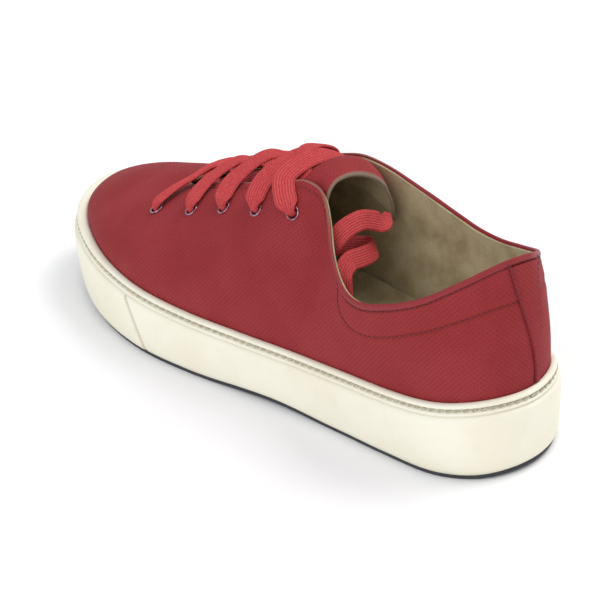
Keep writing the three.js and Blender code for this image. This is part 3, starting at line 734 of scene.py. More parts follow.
def build(name: str, points: np.ndarray, faces: Sequence, materials: Sequence[bpy.types.Material],
          which: Optional[np.ndarray] = None, values: Optional[dict[str, np.ndarray]] = None,
          smooth: bool = True) -> bpy.types.Object:
    """A mesh object in metres from points in millimetres.

    Args:
        name: the object's name.
        points: the points, in millimetres.
        faces: lists of point indices, in arrays of one face size each.
        materials: the object's materials.
        which: the material index of each face.
        values: named numbers, one for each point.
        smooth: whether its faces are shaded smooth.

    Returns:
        The linked object.
    """
    arrays = [np.asarray(block, np.int32) for block in faces]
    mesh = bpy.data.meshes.new(name)
    mesh.vertices.add(len(points))
    mesh.vertices.foreach_set("co", metres(points).astype(np.float32).ravel())
    loops = np.concatenate([block.ravel() for block in arrays])
    sizes = np.concatenate([np.full(len(block), block.shape[1]) for block in arrays])
    mesh.loops.add(len(loops))
    mesh.loops.foreach_set("vertex_index", loops)
    mesh.polygons.add(len(sizes))
    mesh.polygons.foreach_set("loop_start", np.r_[0, np.cumsum(sizes)[:-1]].astype(np.int32))
    mesh.polygons.foreach_set("use_smooth", np.full(len(sizes), smooth))
    for material in materials:
        mesh.materials.append(material)
    if which is not None:
        mesh.polygons.foreach_set("material_index", np.asarray(which, np.int32))
    for key, numbers in (values or {}).items():
        layer = mesh.attributes.new(key, "FLOAT", "POINT")
        layer.data.foreach_set("value", np.asarray(numbers, np.float32).ravel())
    mesh.update(calc_edges=True)
    mesh.validate()
    made = bpy.data.objects.new(name, mesh)
    bpy.context.scene.collection.objects.link(made)
    return made


def cut(target: bpy.types.Object, cutter: bpy.types.Object) -> None:
    """Cuts one mesh out of another and removes the cutter.

    Args:
        target: the mesh that is cut.
        cutter: the mesh that cuts it.
    """
    modifier = target.modifiers.new("cut", "BOOLEAN")
    modifier.operation = "DIFFERENCE"
    modifier.solver = "MANIFOLD"
    modifier.object = cutter
    settle(target)
    bpy.data.objects.remove(cutter)


def settle(target: bpy.types.Object) -> None:
    """Turns an object's modifiers into its plain mesh.

    Args:
        target: the object.
    """
    graph = bpy.context.evaluated_depsgraph_get()
    plain = bpy.data.meshes.new_from_object(target.evaluated_get(graph))
    target.modifiers.clear()
    target.data = plain


def dress(piece: bpy.types.Object, slot: str, *nodes: str) -> bpy.types.Object:
    """Puts a finished piece on the shoe.

    Args:
        piece: the piece.
        slot: not used.
        nodes: the CAD nodes that it stands for.

    Returns:
        The piece.
    """
    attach(piece, BODY)
    if nodes:
        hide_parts(*nodes)
    LOG.info("%s: %d faces", piece.name, len(piece.data.polygons))
    return piece


def turned(profile: Sequence[tuple[float, float]], sides: int, point: np.ndarray,
           normal: np.ndarray) -> tuple[np.ndarray, np.ndarray]:
    """A closed profile of radius and height, turned round a normal at a point.

    Args:
        profile: radius and height rows, in order with the solid on their left.
        sides: steps round the turn.
        point: the place of the axis's foot.
        normal: the axis.

    Returns:
        The points and the faces.
    """
    axis = unit(np.asarray(normal, float))
    across = unit(np.cross(axis, [0.0, 1.0, 0.3]))
    third = np.cross(axis, across)
    turn = np.linspace(0, TURN, sides, endpoint=False)
    ring = np.cos(turn)[:, None] * across + np.sin(turn)[:, None] * third
    rows = [point + radius * ring + height * axis for radius, height in profile]
    return np.concatenate(rows), quads(len(profile), sides, True, True)


def merged(parts: Sequence[tuple[np.ndarray, np.ndarray]]) -> tuple[np.ndarray, np.ndarray]:
    """Several meshes of quads as one.

    Args:
        parts: the points and the faces of each.

    Returns:
        The points and the faces.
    """
    points, faces, first = [], [], 0
    for part_points, part_faces in parts:
        points.append(part_points)
        faces.append(part_faces + first)
        first += len(part_points)
    return np.concatenate(points), np.concatenate(faces)


# ------------------------------------------------------------------------------------------ finishes
def colour(hex_code: str) -> tuple[float, float, float, float]:
    """A linear colour from an sRGB hex code.

    Args:
        hex_code: a hash sign and six digits.

    Returns:
        Red, green, blue and alpha.
    """
    parts = [int(hex_code[i:i + 2], 16) / 255 for i in (1, 3, 5)]
    linear = [c / 12.92 if c <= 0.04045 else ((c + 0.055) / 1.055) ** 2.4 for c in parts]
    return (*linear, 1.0)


def add_node(tree: bpy.types.NodeTree, kind: str, settings: Optional[dict] = None,
             inputs: Optional[dict] = None) -> bpy.types.Node:
    """Adds a node with its settings and links.

    Args:
        tree: the node tree.
        kind: the node's type name.
        settings: its properties.
        inputs: what each input takes, by name or number: a socket to link from, or a value.

    Returns:
        The node.
    """
    node = tree.nodes.new(kind)
    for key, value in (settings or {}).items():
        setattr(node, key, value)
    for key, value in (inputs or {}).items():
        if isinstance(value, bpy.types.NodeSocket):
            tree.links.new(value, node.inputs[key])
        else:
            node.inputs[key].default_value = value
    return node


class Shader:
    """A material being put together: a principled surface and a few ways to drive it."""

    def __init__(self, name: str) -> None:
        """Starts an empty material with a principled surface.

        Args:
            name: the material's name.
        """
        self.material = bpy.data.materials.new(name)
        self.material.use_nodes = True
        self.tree = self.material.node_tree
        self.tree.nodes.clear()
        self.surface = self.add("ShaderNodeBsdfPrincipled")
        output = self.add("ShaderNodeOutputMaterial")
        self.tree.links.new(self.surface.outputs[0], output.inputs["Surface"])
        self.place = self.add("ShaderNodeTexCoord").outputs["Object"]

    def add(self, kind: str, settings: Optional[dict] = None,
            inputs: Optional[dict] = None) -> bpy.types.Node:
        """Adds a node to the material."""
        return add_node(self.tree, kind, settings, inputs)

    def math(self, operation: str, a: object, b: object = 0.0) -> bpy.types.NodeSocket:
        """The result of a sum on one or two values."""
        return self.add("ShaderNodeMath", {"operation": operation}, {0: a, 1: b}).outputs[0]

    def mix(self, share: object, a: object, b: object) -> bpy.types.NodeSocket:
        """A colour between two colours."""
        node = self.add("ShaderNodeMix", {"data_type": "RGBA"}, {0: share, 6: a, 7: b})
        return node.outputs[2]

    def blend(self, low: float, high: float, value: object, start: float = 0.0,
              end: float = 1.0) -> bpy.types.NodeSocket:
        """A value that goes from one number to another as a second one does."""
        inputs = {"Value": value, "From Min": start, "From Max": end, "To Min": low, "To Max": high}
        return self.add("ShaderNodeMapRange", {"interpolation_type": "SMOOTHSTEP"}, inputs).outputs[0]

    def noise(self, size_mm: float, detail: float = 3.0, place: object = None) -> bpy.types.NodeSocket:
        """Noise whose spots are about so many millimetres across."""
        inputs = {"Vector": place or self.place, "Scale": 1 / (size_mm * MM), "Detail": detail}
        return self.add("ShaderNodeTexNoise", None, inputs).outputs["Fac"]

    def value(self, name: str) -> bpy.types.NodeSocket:
        """A number that the mesh carries at each point."""
        return self.add("ShaderNodeAttribute", {"attribute_name": name}).outputs["Fac"]

    def bump(self, height: object, depth_mm: float, below: object = None) -> bpy.types.NodeSocket:
        """A bump of a real depth, on top of another bump if there is one.

        Args:
            height: the pattern, from 0 to 1.
            depth_mm: its depth in millimetres.
            below: the other bump.

        Returns:
            The bent normal.
        """
        inputs = {"Height": height, "Distance": depth_mm * MM, "Strength": 1.0}
        if below is not None:
            inputs["Normal"] = below
        return self.add("ShaderNodeBump", None, inputs).outputs[0]

    def finish(self, base: object, roughness: object, normal: object = None,
               **sockets: float) -> bpy.types.Material:
        """Sets the surface's sockets and gives the material.

        Args:
            base: the colour.
            roughness: the roughness.
            normal: the bumps.
            sockets: constants of other sockets, by name with underscores.

        Returns:
            The material.
        """
        values = {"Base Color": base, "Roughness": roughness, **sockets}
        if normal is not None:
            values["Normal"] = normal
        for key, value in values.items():
            name = key.replace("_", " ")
            if isinstance(value, bpy.types.NodeSocket):
                self.tree.links.new(value, self.surface.inputs[name])
            else:
                self.surface.inputs[name].default_value = value
        return self.material


@dataclass(frozen=True)
class CanvasTwill:
    """Coated cotton twill, dyed in the piece: a matt cloth whose diagonal wales just show.

    Its wales are about 0.5 mm apart. They are drawn at 1.5 mm, because finer ones don't show.
    """

    name: str = "canvas_twill_coated"
    base: str = "#912a2d"
    worn: str = "#983235"
    deep: str = "#701a1e"
    # seam: painted shade for the grooves of the seams and of the collar's stitching, and along the heel
    # strip's edges
    seam: str = "#5a1820"
    binding: str = "#8c2a2f"
    raw_edge: str = "#8d7a6a"
    wale_mm: float = 1.5
    wale_depth_mm: float = 0.07
    slope_across: float = 0.76
    slope_up: float = 0.65

    def wales(self, shader: Shader) -> bpy.types.NodeSocket:
        """Diagonal wales on all sides: one wave for each pair of axes, mixed by where the surface faces.

        Args:
            shader: the material being put together.

        Returns:
            Their height, from -1 to 1.
        """
        axes = shader.add("ShaderNodeSeparateXYZ", None, {0: shader.place}).outputs
        facing = shader.add("ShaderNodeNewGeometry").outputs["Normal"]
        parts = shader.add("ShaderNodeSeparateXYZ", None, {0: facing}).outputs
        turns = TURN / (self.wale_mm * MM)
        total, weight = 0.0, 0.0
        for i, (a, b) in enumerate(((1, 2), (0, 2), (0, 1))):
            sideways = shader.math("MULTIPLY", axes[a], self.slope_across)
            upwards = shader.math("MULTIPLY", axes[b], self.slope_up)
            run = shader.math("MULTIPLY", shader.math("ADD", sideways, upwards), turns)
            back = shader.math("MULTIPLY", shader.math("SUBTRACT", sideways, upwards), turns)
            warp, weft = shader.math("SINE", run), shader.math("SINE", back)
            wave = shader.math("MULTIPLY", shader.math("ADD", shader.math("MULTIPLY", warp, weft), warp), 0.5)
            share = shader.math("POWER", shader.math("ABSOLUTE", parts[i]), 4.0)
            total = shader.math("ADD", shader.math("MULTIPLY", wave, share), total)
            weight = shader.math("ADD", share, weight)
        return shader.math("DIVIDE", total, weight)

    def make(self) -> bpy.types.Material:
        """Builds the material.

        Returns:
            The finished material.
        """
        shader = Shader(self.name)
        wales = self.wales(shader)
        threads = shader.noise(0.9, 4.0)
        patches = shader.noise(26.0, 3.0)
        cloth = shader.mix(shader.blend(0, 1, patches, 0.35, 0.68), colour(self.base), colour(self.worn))
        cloth = shader.mix(shader.blend(0.0, 0.55, wales, 0.2, -1.0), cloth, colour(self.deep))
        cloth = shader.mix(shader.blend(0.0, 0.22, threads, 0.52, 0.3), cloth, colour(self.deep))
        cloth = shader.mix(shader.value("binding"), cloth, colour(self.binding))
        # painted shade: the 'seam' value darkens the seam grooves with the seam colour
        cloth = shader.mix(shader.value("seam"), cloth, colour(self.seam))
        cloth = shader.mix(shader.value("raw"), cloth, colour(self.raw_edge))
        rough = shader.blend(0.78, 0.45, shader.value("binding"))
        height = shader.math("ADD", wales, shader.math("MULTIPLY", threads, 1.2))
        weave = shader.bump(height, self.wale_depth_mm)
        return shader.finish(cloth, rough, weave, Specular_IOR_Level=0.25)


@dataclass(frozen=True)
class BrushedLining:
    """Cotton lining with a brushed nap: beige, with soft darker spots where the nap lies down."""

    name: str = "cotton_lining_brushed"
    base: str = "#b0a07c"
    light: str = "#beb08c"
    dark: str = "#978868"
    raw_edge: str = "#8d7a6a"

    def make(self) -> bpy.types.Material:
        """Builds the material.

        Returns:
            The finished material.
        """
        shader = Shader(self.name)
        nap = shader.noise(11.0, 5.0)
        fibres = shader.noise(0.7, 4.0)
        cloth = shader.mix(shader.blend(0, 1, nap, 0.42, 0.62), colour(self.base), colour(self.light))
        cloth = shader.mix(shader.blend(0, 0.7, nap, 0.46, 0.3), cloth, colour(self.dark))
        cloth = shader.mix(shader.blend(0, 0.35, fibres, 0.5, 0.35), cloth, colour(self.dark))
        # painted shade: the 'seam' value darkens the lining's notch with the dark colour
        cloth = shader.mix(shader.value("seam"), cloth, colour(self.dark))
        cloth = shader.mix(shader.value("raw"), cloth, colour(self.raw_edge))
        fuzz = shader.bump(fibres, 0.2, shader.bump(nap, 0.4))
        return shader.finish(cloth, 0.95, fuzz, Sheen_Weight=0.1, Sheen_Roughness=0.6,
                             Specular_IOR_Level=0.12)


@dataclass(frozen=True)
class VulcanisedRubber:
    """Vulcanised rubber, moulded: satin, with a faint cloudiness and a fine skin."""

    name: str
    base: str
    warm: str
    # dirt: the colour of the random dirt marks, and also of the painted shade in the grooves and at the
    # wall's foot
    dirt_and_shade: str
    roughness: float
    dirt_share: float

    def make(self) -> bpy.types.Material:
        """Builds the material.

        Returns:
            The finished material.
        """
        shader = Shader(self.name)
        cloud = shader.noise(30.0, 3.0)
        marks = shader.noise(4.0, 6.0)
        skin = shader.noise(0.6, 2.0)
        body = shader.mix(shader.blend(0, 1, cloud, 0.35, 0.65), colour(self.base), colour(self.warm))
        body = shader.mix(shader.blend(0, self.dirt_share, marks, 0.56, 0.75), body, colour(self.dirt_and_shade))
        # painted shade: the 'seam' value darkens grooves, the bumper's seam and the wall's foot with this
        # colour
        body = shader.mix(shader.value("seam"), body, colour(self.dirt_and_shade))
        rough = shader.blend(self.roughness - 0.05, self.roughness + 0.12, marks, 0.3, 0.7)
        return shader.finish(body, rough, shader.bump(skin, 0.02), Specular_IOR_Level=0.4)


@dataclass(frozen=True)
class LaceWeave:
    """Flat woven cotton lace: ribs along it and a fine cross weave, brighter than the canvas."""

    name: str = "cotton_lace_flat"
    base: str = "#be4245"
    light: str = "#cb5454"
    deep: str = "#8c282c"
    pick_mm: float = 1.1

    def make(self) -> bpy.types.Material:
        """Builds the material.

        Returns:
            The finished material.
        """
        shader = Shader(self.name)
        ribs = shader.value("rib")
        along = shader.math("SINE", shader.math("MULTIPLY", shader.value("run"), TURN / self.pick_mm))
        fuzz = shader.noise(0.8, 4.0)
        cloth = shader.mix(shader.blend(0, 1, fuzz, 0.35, 0.65), colour(self.base), colour(self.light))
        cloth = shader.mix(shader.blend(0.6, 0.0, ribs, 0.05, 0.7), cloth, colour(self.deep))
        weave = shader.bump(along, 0.03, shader.bump(fuzz, 0.12))
        return shader.finish(cloth, 0.9, weave, Specular_IOR_Level=0.15)


@dataclass(frozen=True)
class SewingThread:
    """Spun sewing thread: a soft, slightly lustrous strand."""

    name: str
    base: str
    deep: str = "#1c0a0a"

    def make(self) -> bpy.types.Material:
        """Builds the material.

        Returns:
            The finished material.
        """
        shader = Shader(self.name)
        strands = shader.noise(0.5, 2.0)
        tone = shader.mix(shader.blend(0, 0.5, strands, 0.4, 0.6), colour(self.base), colour(self.deep))
        return shader.finish(tone, 0.6, shader.bump(strands, 0.05), Sheen_Weight=0.1)


@dataclass(frozen=True)
class EnamelledBrass:
    """Stamped brass eyelets with a thin lilac-grey enamel, and lilac-white painted glints in random spots."""

    name: str = "brass_eyelet_enamelled"
    base: str = "#8d5f6b"
    painted_glint: str = "#b995a4"

    def make(self) -> bpy.types.Material:
        """Builds the material.

        Returns:
            The finished material.
        """
        shader = Shader(self.name)
        glint_spots = shader.noise(1.2, 3.0)
        # painted glints: lighter lilac-white spots at random over the eyelet, which also vary its roughness
        tone = shader.mix(shader.blend(0, 1, glint_spots, 0.4, 0.6), colour(self.base), colour(self.painted_glint))
        return shader.finish(tone, shader.blend(0.22, 0.4, glint_spots, 0.3, 0.7), Metallic=0.85)


@dataclass(frozen=True)
class StudioPaper:
    """A seamless roll of pale matt paper."""

    name: str = "studio_paper"
    base: str = "#ffffff"
    grain: str = "#eeeff3"

    def make(self) -> bpy.types.Material:
        """Builds the material.

        Returns:
            The finished material.
        """
        shader = Shader(self.name)
        share = shader.blend(0, 0.05, shader.noise(1.5, 2.0), 0.4, 0.6)
        tone = shader.mix(share, colour(self.base), colour(self.grain))
        return shader.finish(tone, 0.9, Specular_IOR_Level=0.1)


class Finishes:
    """Every material of the shoe, made once."""

    def __init__(self) -> None:
        """Makes the materials."""
        self.canvas = CanvasTwill().make()
        self.lining = BrushedLining().make()
        self.sock = BrushedLining("insole_sock_brushed", "#a39370", "#b2a27e", "#857656").make()
        self.cream = VulcanisedRubber("rubber_cream_moulded", "#f3f0dd", "#efead4", "#b9b294",
                                      0.5, 0.06).make()
        self.tread = VulcanisedRubber("rubber_tread_moulded", "#38393d", "#3f4044", "#55555a",
                                      0.75, 0.5).make()
        self.lace = LaceWeave().make()
        self.thread = SewingThread("thread_red_spun", "#7c2026").make()
        self.sole_thread = SewingThread("thread_cream_spun", "#cdc6ab").make()
        self.metal = EnamelledBrass().make()


# ------------------------------------------------------------------------------------------ stitches
class StitchRow:
    """Rows of thread stitches laid along a line by Geometry Nodes."""

    SIZES = ("Pitch", "Length", "Thickness")

    def __init__(self) -> None:
        """Builds the node tree once, for every row."""
        tree = bpy.data.node_groups.new("stitch_row", "GeometryNodeTree")
        tree.interface.new_socket("Geometry", in_out="INPUT", socket_type="NodeSocketGeometry")
        for name in self.SIZES:
            tree.interface.new_socket(name, in_out="INPUT", socket_type="NodeSocketFloat")
        tree.interface.new_socket("Thread", in_out="INPUT", socket_type="NodeSocketMaterial")
        tree.interface.new_socket("Geometry", in_out="OUTPUT", socket_type="NodeSocketGeometry")
        given = add_node(tree, "NodeGroupInput").outputs
        places = add_node(tree, "GeometryNodeCurveToPoints", {"mode": "LENGTH"},
                          {"Curve": given["Geometry"], "Length": given["Pitch"]})
        ball = add_node(tree, "GeometryNodeMeshUVSphere", None, {"Segments": 8, "Rings": 6, "Radius": 0.5})
        size = add_node(tree, "ShaderNodeCombineXYZ", None,
                        {"X": given["Thickness"], "Y": given["Thickness"], "Z": given["Length"]})
        laid = add_node(tree, "GeometryNodeInstanceOnPoints", None, {
            "Points": places.outputs["Points"], "Instance": ball.outputs["Mesh"],
            "Rotation": places.outputs["Rotation"], "Scale": size.outputs[0]})
        real = add_node(tree, "GeometryNodeRealizeInstances", None, {"Geometry": laid.outputs[0]})
        sleek = add_node(tree, "GeometryNodeSetShadeSmooth", None, {"Geometry": real.outputs[0]})
        sewn = add_node(tree, "GeometryNodeSetMaterial", None,
                        {"Geometry": sleek.outputs[0], "Material": given["Thread"]})
        add_node(tree, "NodeGroupOutput", None, {"Geometry": sewn.outputs[0]})
        self.tree = tree

    def sew(self, name: str, lines: Sequence[np.ndarray], thread: bpy.types.Material, pitch: float,
            length: float, thickness: float) -> bpy.types.Object:
        """Sews stitches along lines of points.

        Args:
            name: the piece's name.
            lines: the lines, each an array of points in millimetres.
            thread: the thread's material.
            pitch, length, thickness: the stitch's sizes, in millimetres.

        Returns:
            The plain mesh of all the stitches.
        """
        curve = bpy.data.curves.new(name, "CURVE")
        curve.dimensions = "3D"
        for line in lines:
            spline = curve.splines.new("POLY")
            spline.points.add(len(line) - 1)
            spline.points.foreach_set("co", np.column_stack([metres(line), np.ones(len(line))]).ravel())
        rows = bpy.data.objects.new(name + "_line", curve)
        bpy.context.scene.collection.objects.link(rows)
        modifier = rows.modifiers.new("stitches", "NODES")
        modifier.node_group = self.tree
        numbers = dict(zip(self.SIZES, (pitch, length, thickness)))
        for item in self.tree.interface.items_tree:
            if item.in_out == "INPUT" and item.name in numbers:
                modifier[item.identifier] = numbers[item.name] * MM
            if item.in_out == "INPUT" and item.name == "Thread":
                modifier[item.identifier] = thread
        graph = bpy.context.evaluated_depsgraph_get()
        mesh = bpy.data.meshes.new_from_object(rows.evaluated_get(graph))
        mesh.name = name
        bpy.data.objects.remove(rows)
        sewn = bpy.data.objects.new(name, mesh)
        bpy.context.scene.collection.objects.link(sewn)
        return sewn


# ------------------------------------------------------------------------------------------ sole
@dataclass
class Sole:
    """The cupsole with its stitched edge, and the treaded outsole under it."""

    # painted shade laid into the sidewall's grooves, by part
    GROOVE_SHADES = {"groove bed": 0.6, "groove foot": 0.1, "fine groove": 0.3}

    last: Last
    finishes: Finishes
    stitches: StitchRow
    columns: int = 1000
    groove_columns: int = 1400
    tread_columns: int = 420
    wall_rings: int = 16
    bed_drop: float = 6.0
    groove_below: float = 2.65
    stitch_pitch: float = 3.6
    stitch_slant: float = 0.3
    groove_inset: float = 2.0
    seam_top_y: float = 62.0
    seam_foot_y: float = 46.0
    seam_height: float = 29.0
    seam_width: float = 0.7
    bumper_proud: float = 0.22
    lip_inner: float = 3.9
    lip_span: float = 1.7
    seam_depth: float = 0.5
    seam_shade: float = 0.9
    step_width: float = 0.3
    ledge_below: float = 5.4
    ledge_soft: float = 0.6
    foot_shade: float = 0.12
    rounding: float = 0.5
    rounding_from: float = 0.93
    middle_inset: float = 24.0
    under_inset: float = 3.0
    thread_length: float = 3.3
    thread_thickness: float = 0.95
    thread_proud: float = 0.45
    channel_depth: float = 1.1
    channel_width: float = 3.0
    channel_sweep: float = 7.0
    channel_pitch: float = 13.0
    channel_rim: float = 6.3
    channel_steps: int = 25
    sweep_over: float = 30.0
    treads: tuple[tuple[float, float], ...] = ((0.06, 0.27), (0.5, 0.93))

    def bumper(self, points: np.ndarray, rim: np.ndarray) -> tuple[np.ndarray, np.ndarray]:
        """How far the toe bumper stands out, and the seam at its slanting end.

        Args:
            points: points of the wall.
            rim: the rim's height at each.

        Returns:
            The outward shift, and the painted shade in the seam's groove, of each point.
        """
        under_rim = rim - points[:, 2]
        below = np.clip((under_rim - self.ledge_below) / self.seam_height, 0, 1.2)
        line = self.seam_top_y + (self.seam_foot_y - self.seam_top_y) * below
        away = points[:, 1] - line
        on_wall = np.clip((under_rim - self.ledge_below + 0.2) / self.ledge_soft, 0, 1)
        step = 1 / (1 + np.exp(-np.clip(away / self.step_width, -40, 40)))
        # seam: the seam's groove, and the painted shade laid into it
        seam = bell(away, self.seam_width)
        shift = on_wall * (self.bumper_proud * step - self.seam_depth * seam)
        return shift, self.seam_shade * on_wall * seam

    def cupsole(self) -> bpy.types.Object:
        """The cupsole: bed, lip, groove, ridge, wall and underside in one skin.

        Returns:
            The dressed piece.
        """
        angle = self.last.meridians(self.columns)
        rim = self.last.rim(station_of(angle))
        rings, shades = [], []
        blank = np.zeros(len(angle))
        outward = self.last.outward(angle)
        swell = self.last.swell(angle)
        for row in SIDEWALL:
            out = swell * np.clip((self.lip_inner - row["inset"]) / self.lip_span, 0, 1)
            rings.append(self.last.in_plan(angle, row["inset"] - out, rim - row["below"]))
            shades.append(blank + self.GROOVE_SHADES.get(row["part"], 0.0))
        last_row = SIDEWALL[-1]
        for share in np.linspace(0, 1, self.wall_rings + 1)[1:]:
            foot = self.last.in_plan(angle, self.last.undercut(angle) * share**2 - swell, 0.0)
            bottom = self.last.outsole_top(foot[:, 1]) + CLEARANCE
            soft = self.rounding * max(0.0, (share - self.rounding_from) / (1 - self.rounding_from)) ** 2
            foot[:, 2] = rim - last_row["below"] + (bottom - rim + last_row["below"]) * share
            rings.append(foot - outward * soft)
            # painted shade, growing towards the wall's foot where it turns under
            shades.append(blank + self.foot_shade * share**6)
        for i, ring in enumerate(rings):
            shift, seam = self.bumper(ring, rim)
            rings[i] = ring + outward * shift[:, None]
            # the bumper's seam adds its painted shade
            shades[i] = np.maximum(shades[i], seam)
        bed = [self.last.in_plan(angle, inset, rim - self.bed_drop)
               for inset in (self.last.canvas_inset + 0.1, self.middle_inset)]
        under = [self.last.in_plan(angle, self.last.foot_inset(angle) + inset, 0.0)
                 for inset in (self.middle_inset, self.under_inset)]
        for ring in under:
            ring[:, 2] = self.last.outsole_top(ring[:, 1]) + CLEARANCE
        order = [*under, *reversed(rings), *bed]
        tones = [blank, blank, *reversed(shades), blank, blank]
        sole = build("cupsole_moulding", np.concatenate(order), capped(len(order), self.columns),
                     [self.finishes.cream], values={"seam": np.concatenate(tones)})
        return dress(sole, "cream_rubber", "cupsole")

    def groove_stitches(self) -> bpy.types.Object:
        """The slanted stitches that lie in the groove under the lip, one short line for each.

        Returns:
            The dressed piece.
        """
        angle = np.append(self.last.meridians(self.groove_columns), TURN)
        inset = self.groove_inset - self.thread_proud - self.last.swell(angle)
        line = self.last.in_plan(angle, inset, self.last.rim(station_of(angle)) - self.groove_below)
        run = running(line)
        starts = np.arange(0, run[-1] - self.stitch_pitch / 2, self.stitch_pitch)
        first = np.column_stack([np.interp(starts, run, column) for column in line.T])
        second = np.column_stack([np.interp(starts + 1, run, column) for column in line.T])
        second = second + UP * self.stitch_slant
        sewn = self.stitches.sew("sole_stitches", list(np.stack([first, second], axis=1)),
                                 self.finishes.sole_thread, self.stitch_pitch, self.thread_length,
                                 self.thread_thickness)
        return dress(sewn, "cream_rubber")

    def outsole(self) -> bpy.types.Object:
        """The outsole with chevron channels between its lugs.

        Returns:
            The dressed piece.
        """
        angle = self.last.meridians(self.tread_columns)
        rings = []
        for row in TREAD_EDGE:
            ring = self.last.in_plan(angle, self.last.foot_inset(angle) + row["inset"], 0.0)
            low, high = self.last.floor(ring[:, 1]), self.last.outsole_top(ring[:, 1])
            ring[:, 2] = low + (high - low) * row["share"]
            rings.append(ring)
        points = np.concatenate(rings)
        tread = build("outsole_tread", points, capped(len(rings), len(angle)), [self.finishes.tread],
                      values={"seam": np.zeros(len(points))}, smooth=False)
        cut(tread, self.channels())
        return dress(tread, "dark_rubber", "outsole")

    def channels(self) -> bpy.types.Object:
        """The chevron channels as one cutting mesh.

        Returns:
            The cutter.
        """
        parts = []
        for start, end in self.treads:
            count = int((end - start) * self.last.length // self.channel_pitch)
            for i in range(count + 1):
                parts.append(self.chevron((start - 0.5) * self.last.length + i * self.channel_pitch))
        points, faces = merged(parts)
        return build("channels", points, [faces], [])

    def chevron(self, y: float) -> tuple[np.ndarray, np.ndarray]:
        """One chevron channel, ending inside the outsole's edge.

        Args:
            y: where its middle starts along the shoe.

        Returns:
            The points and faces of a closed bar.
        """
        half = 360
        angles = np.linspace(0, TURN, 2 * half + 1)
        edge = self.last.in_plan(angles, self.last.foot_inset(angles) + self.channel_rim, 0.0)
        medial, lateral = edge[:half + 1], edge[half:][::-1]
        back = y - self.channel_sweep
        left = np.interp(back, lateral[:, 1], lateral[:, 0])
        right = np.interp(back, medial[:, 1], medial[:, 0])
        xs = np.linspace(left, right, self.channel_steps)
        ys = y - self.channel_sweep * np.abs(xs) / self.sweep_over
        base = self.last.floor(ys)
        rows = []
        for x, at, low in zip(xs, ys, base):
            ahead, near, far = at + self.channel_width, low - 1.0, low + self.channel_depth
            rows.append([[x, at, near], [x, ahead, near], [x, ahead, far], [x, at, far]])
        points = np.array(rows).reshape(-1, 3)
        ends = np.array([[0, 3, 2, 1], np.arange(4) + len(points) - 4])
        faces = np.concatenate([quads(len(xs), 4, True, False), ends])
        return points, faces[:, ::-1]


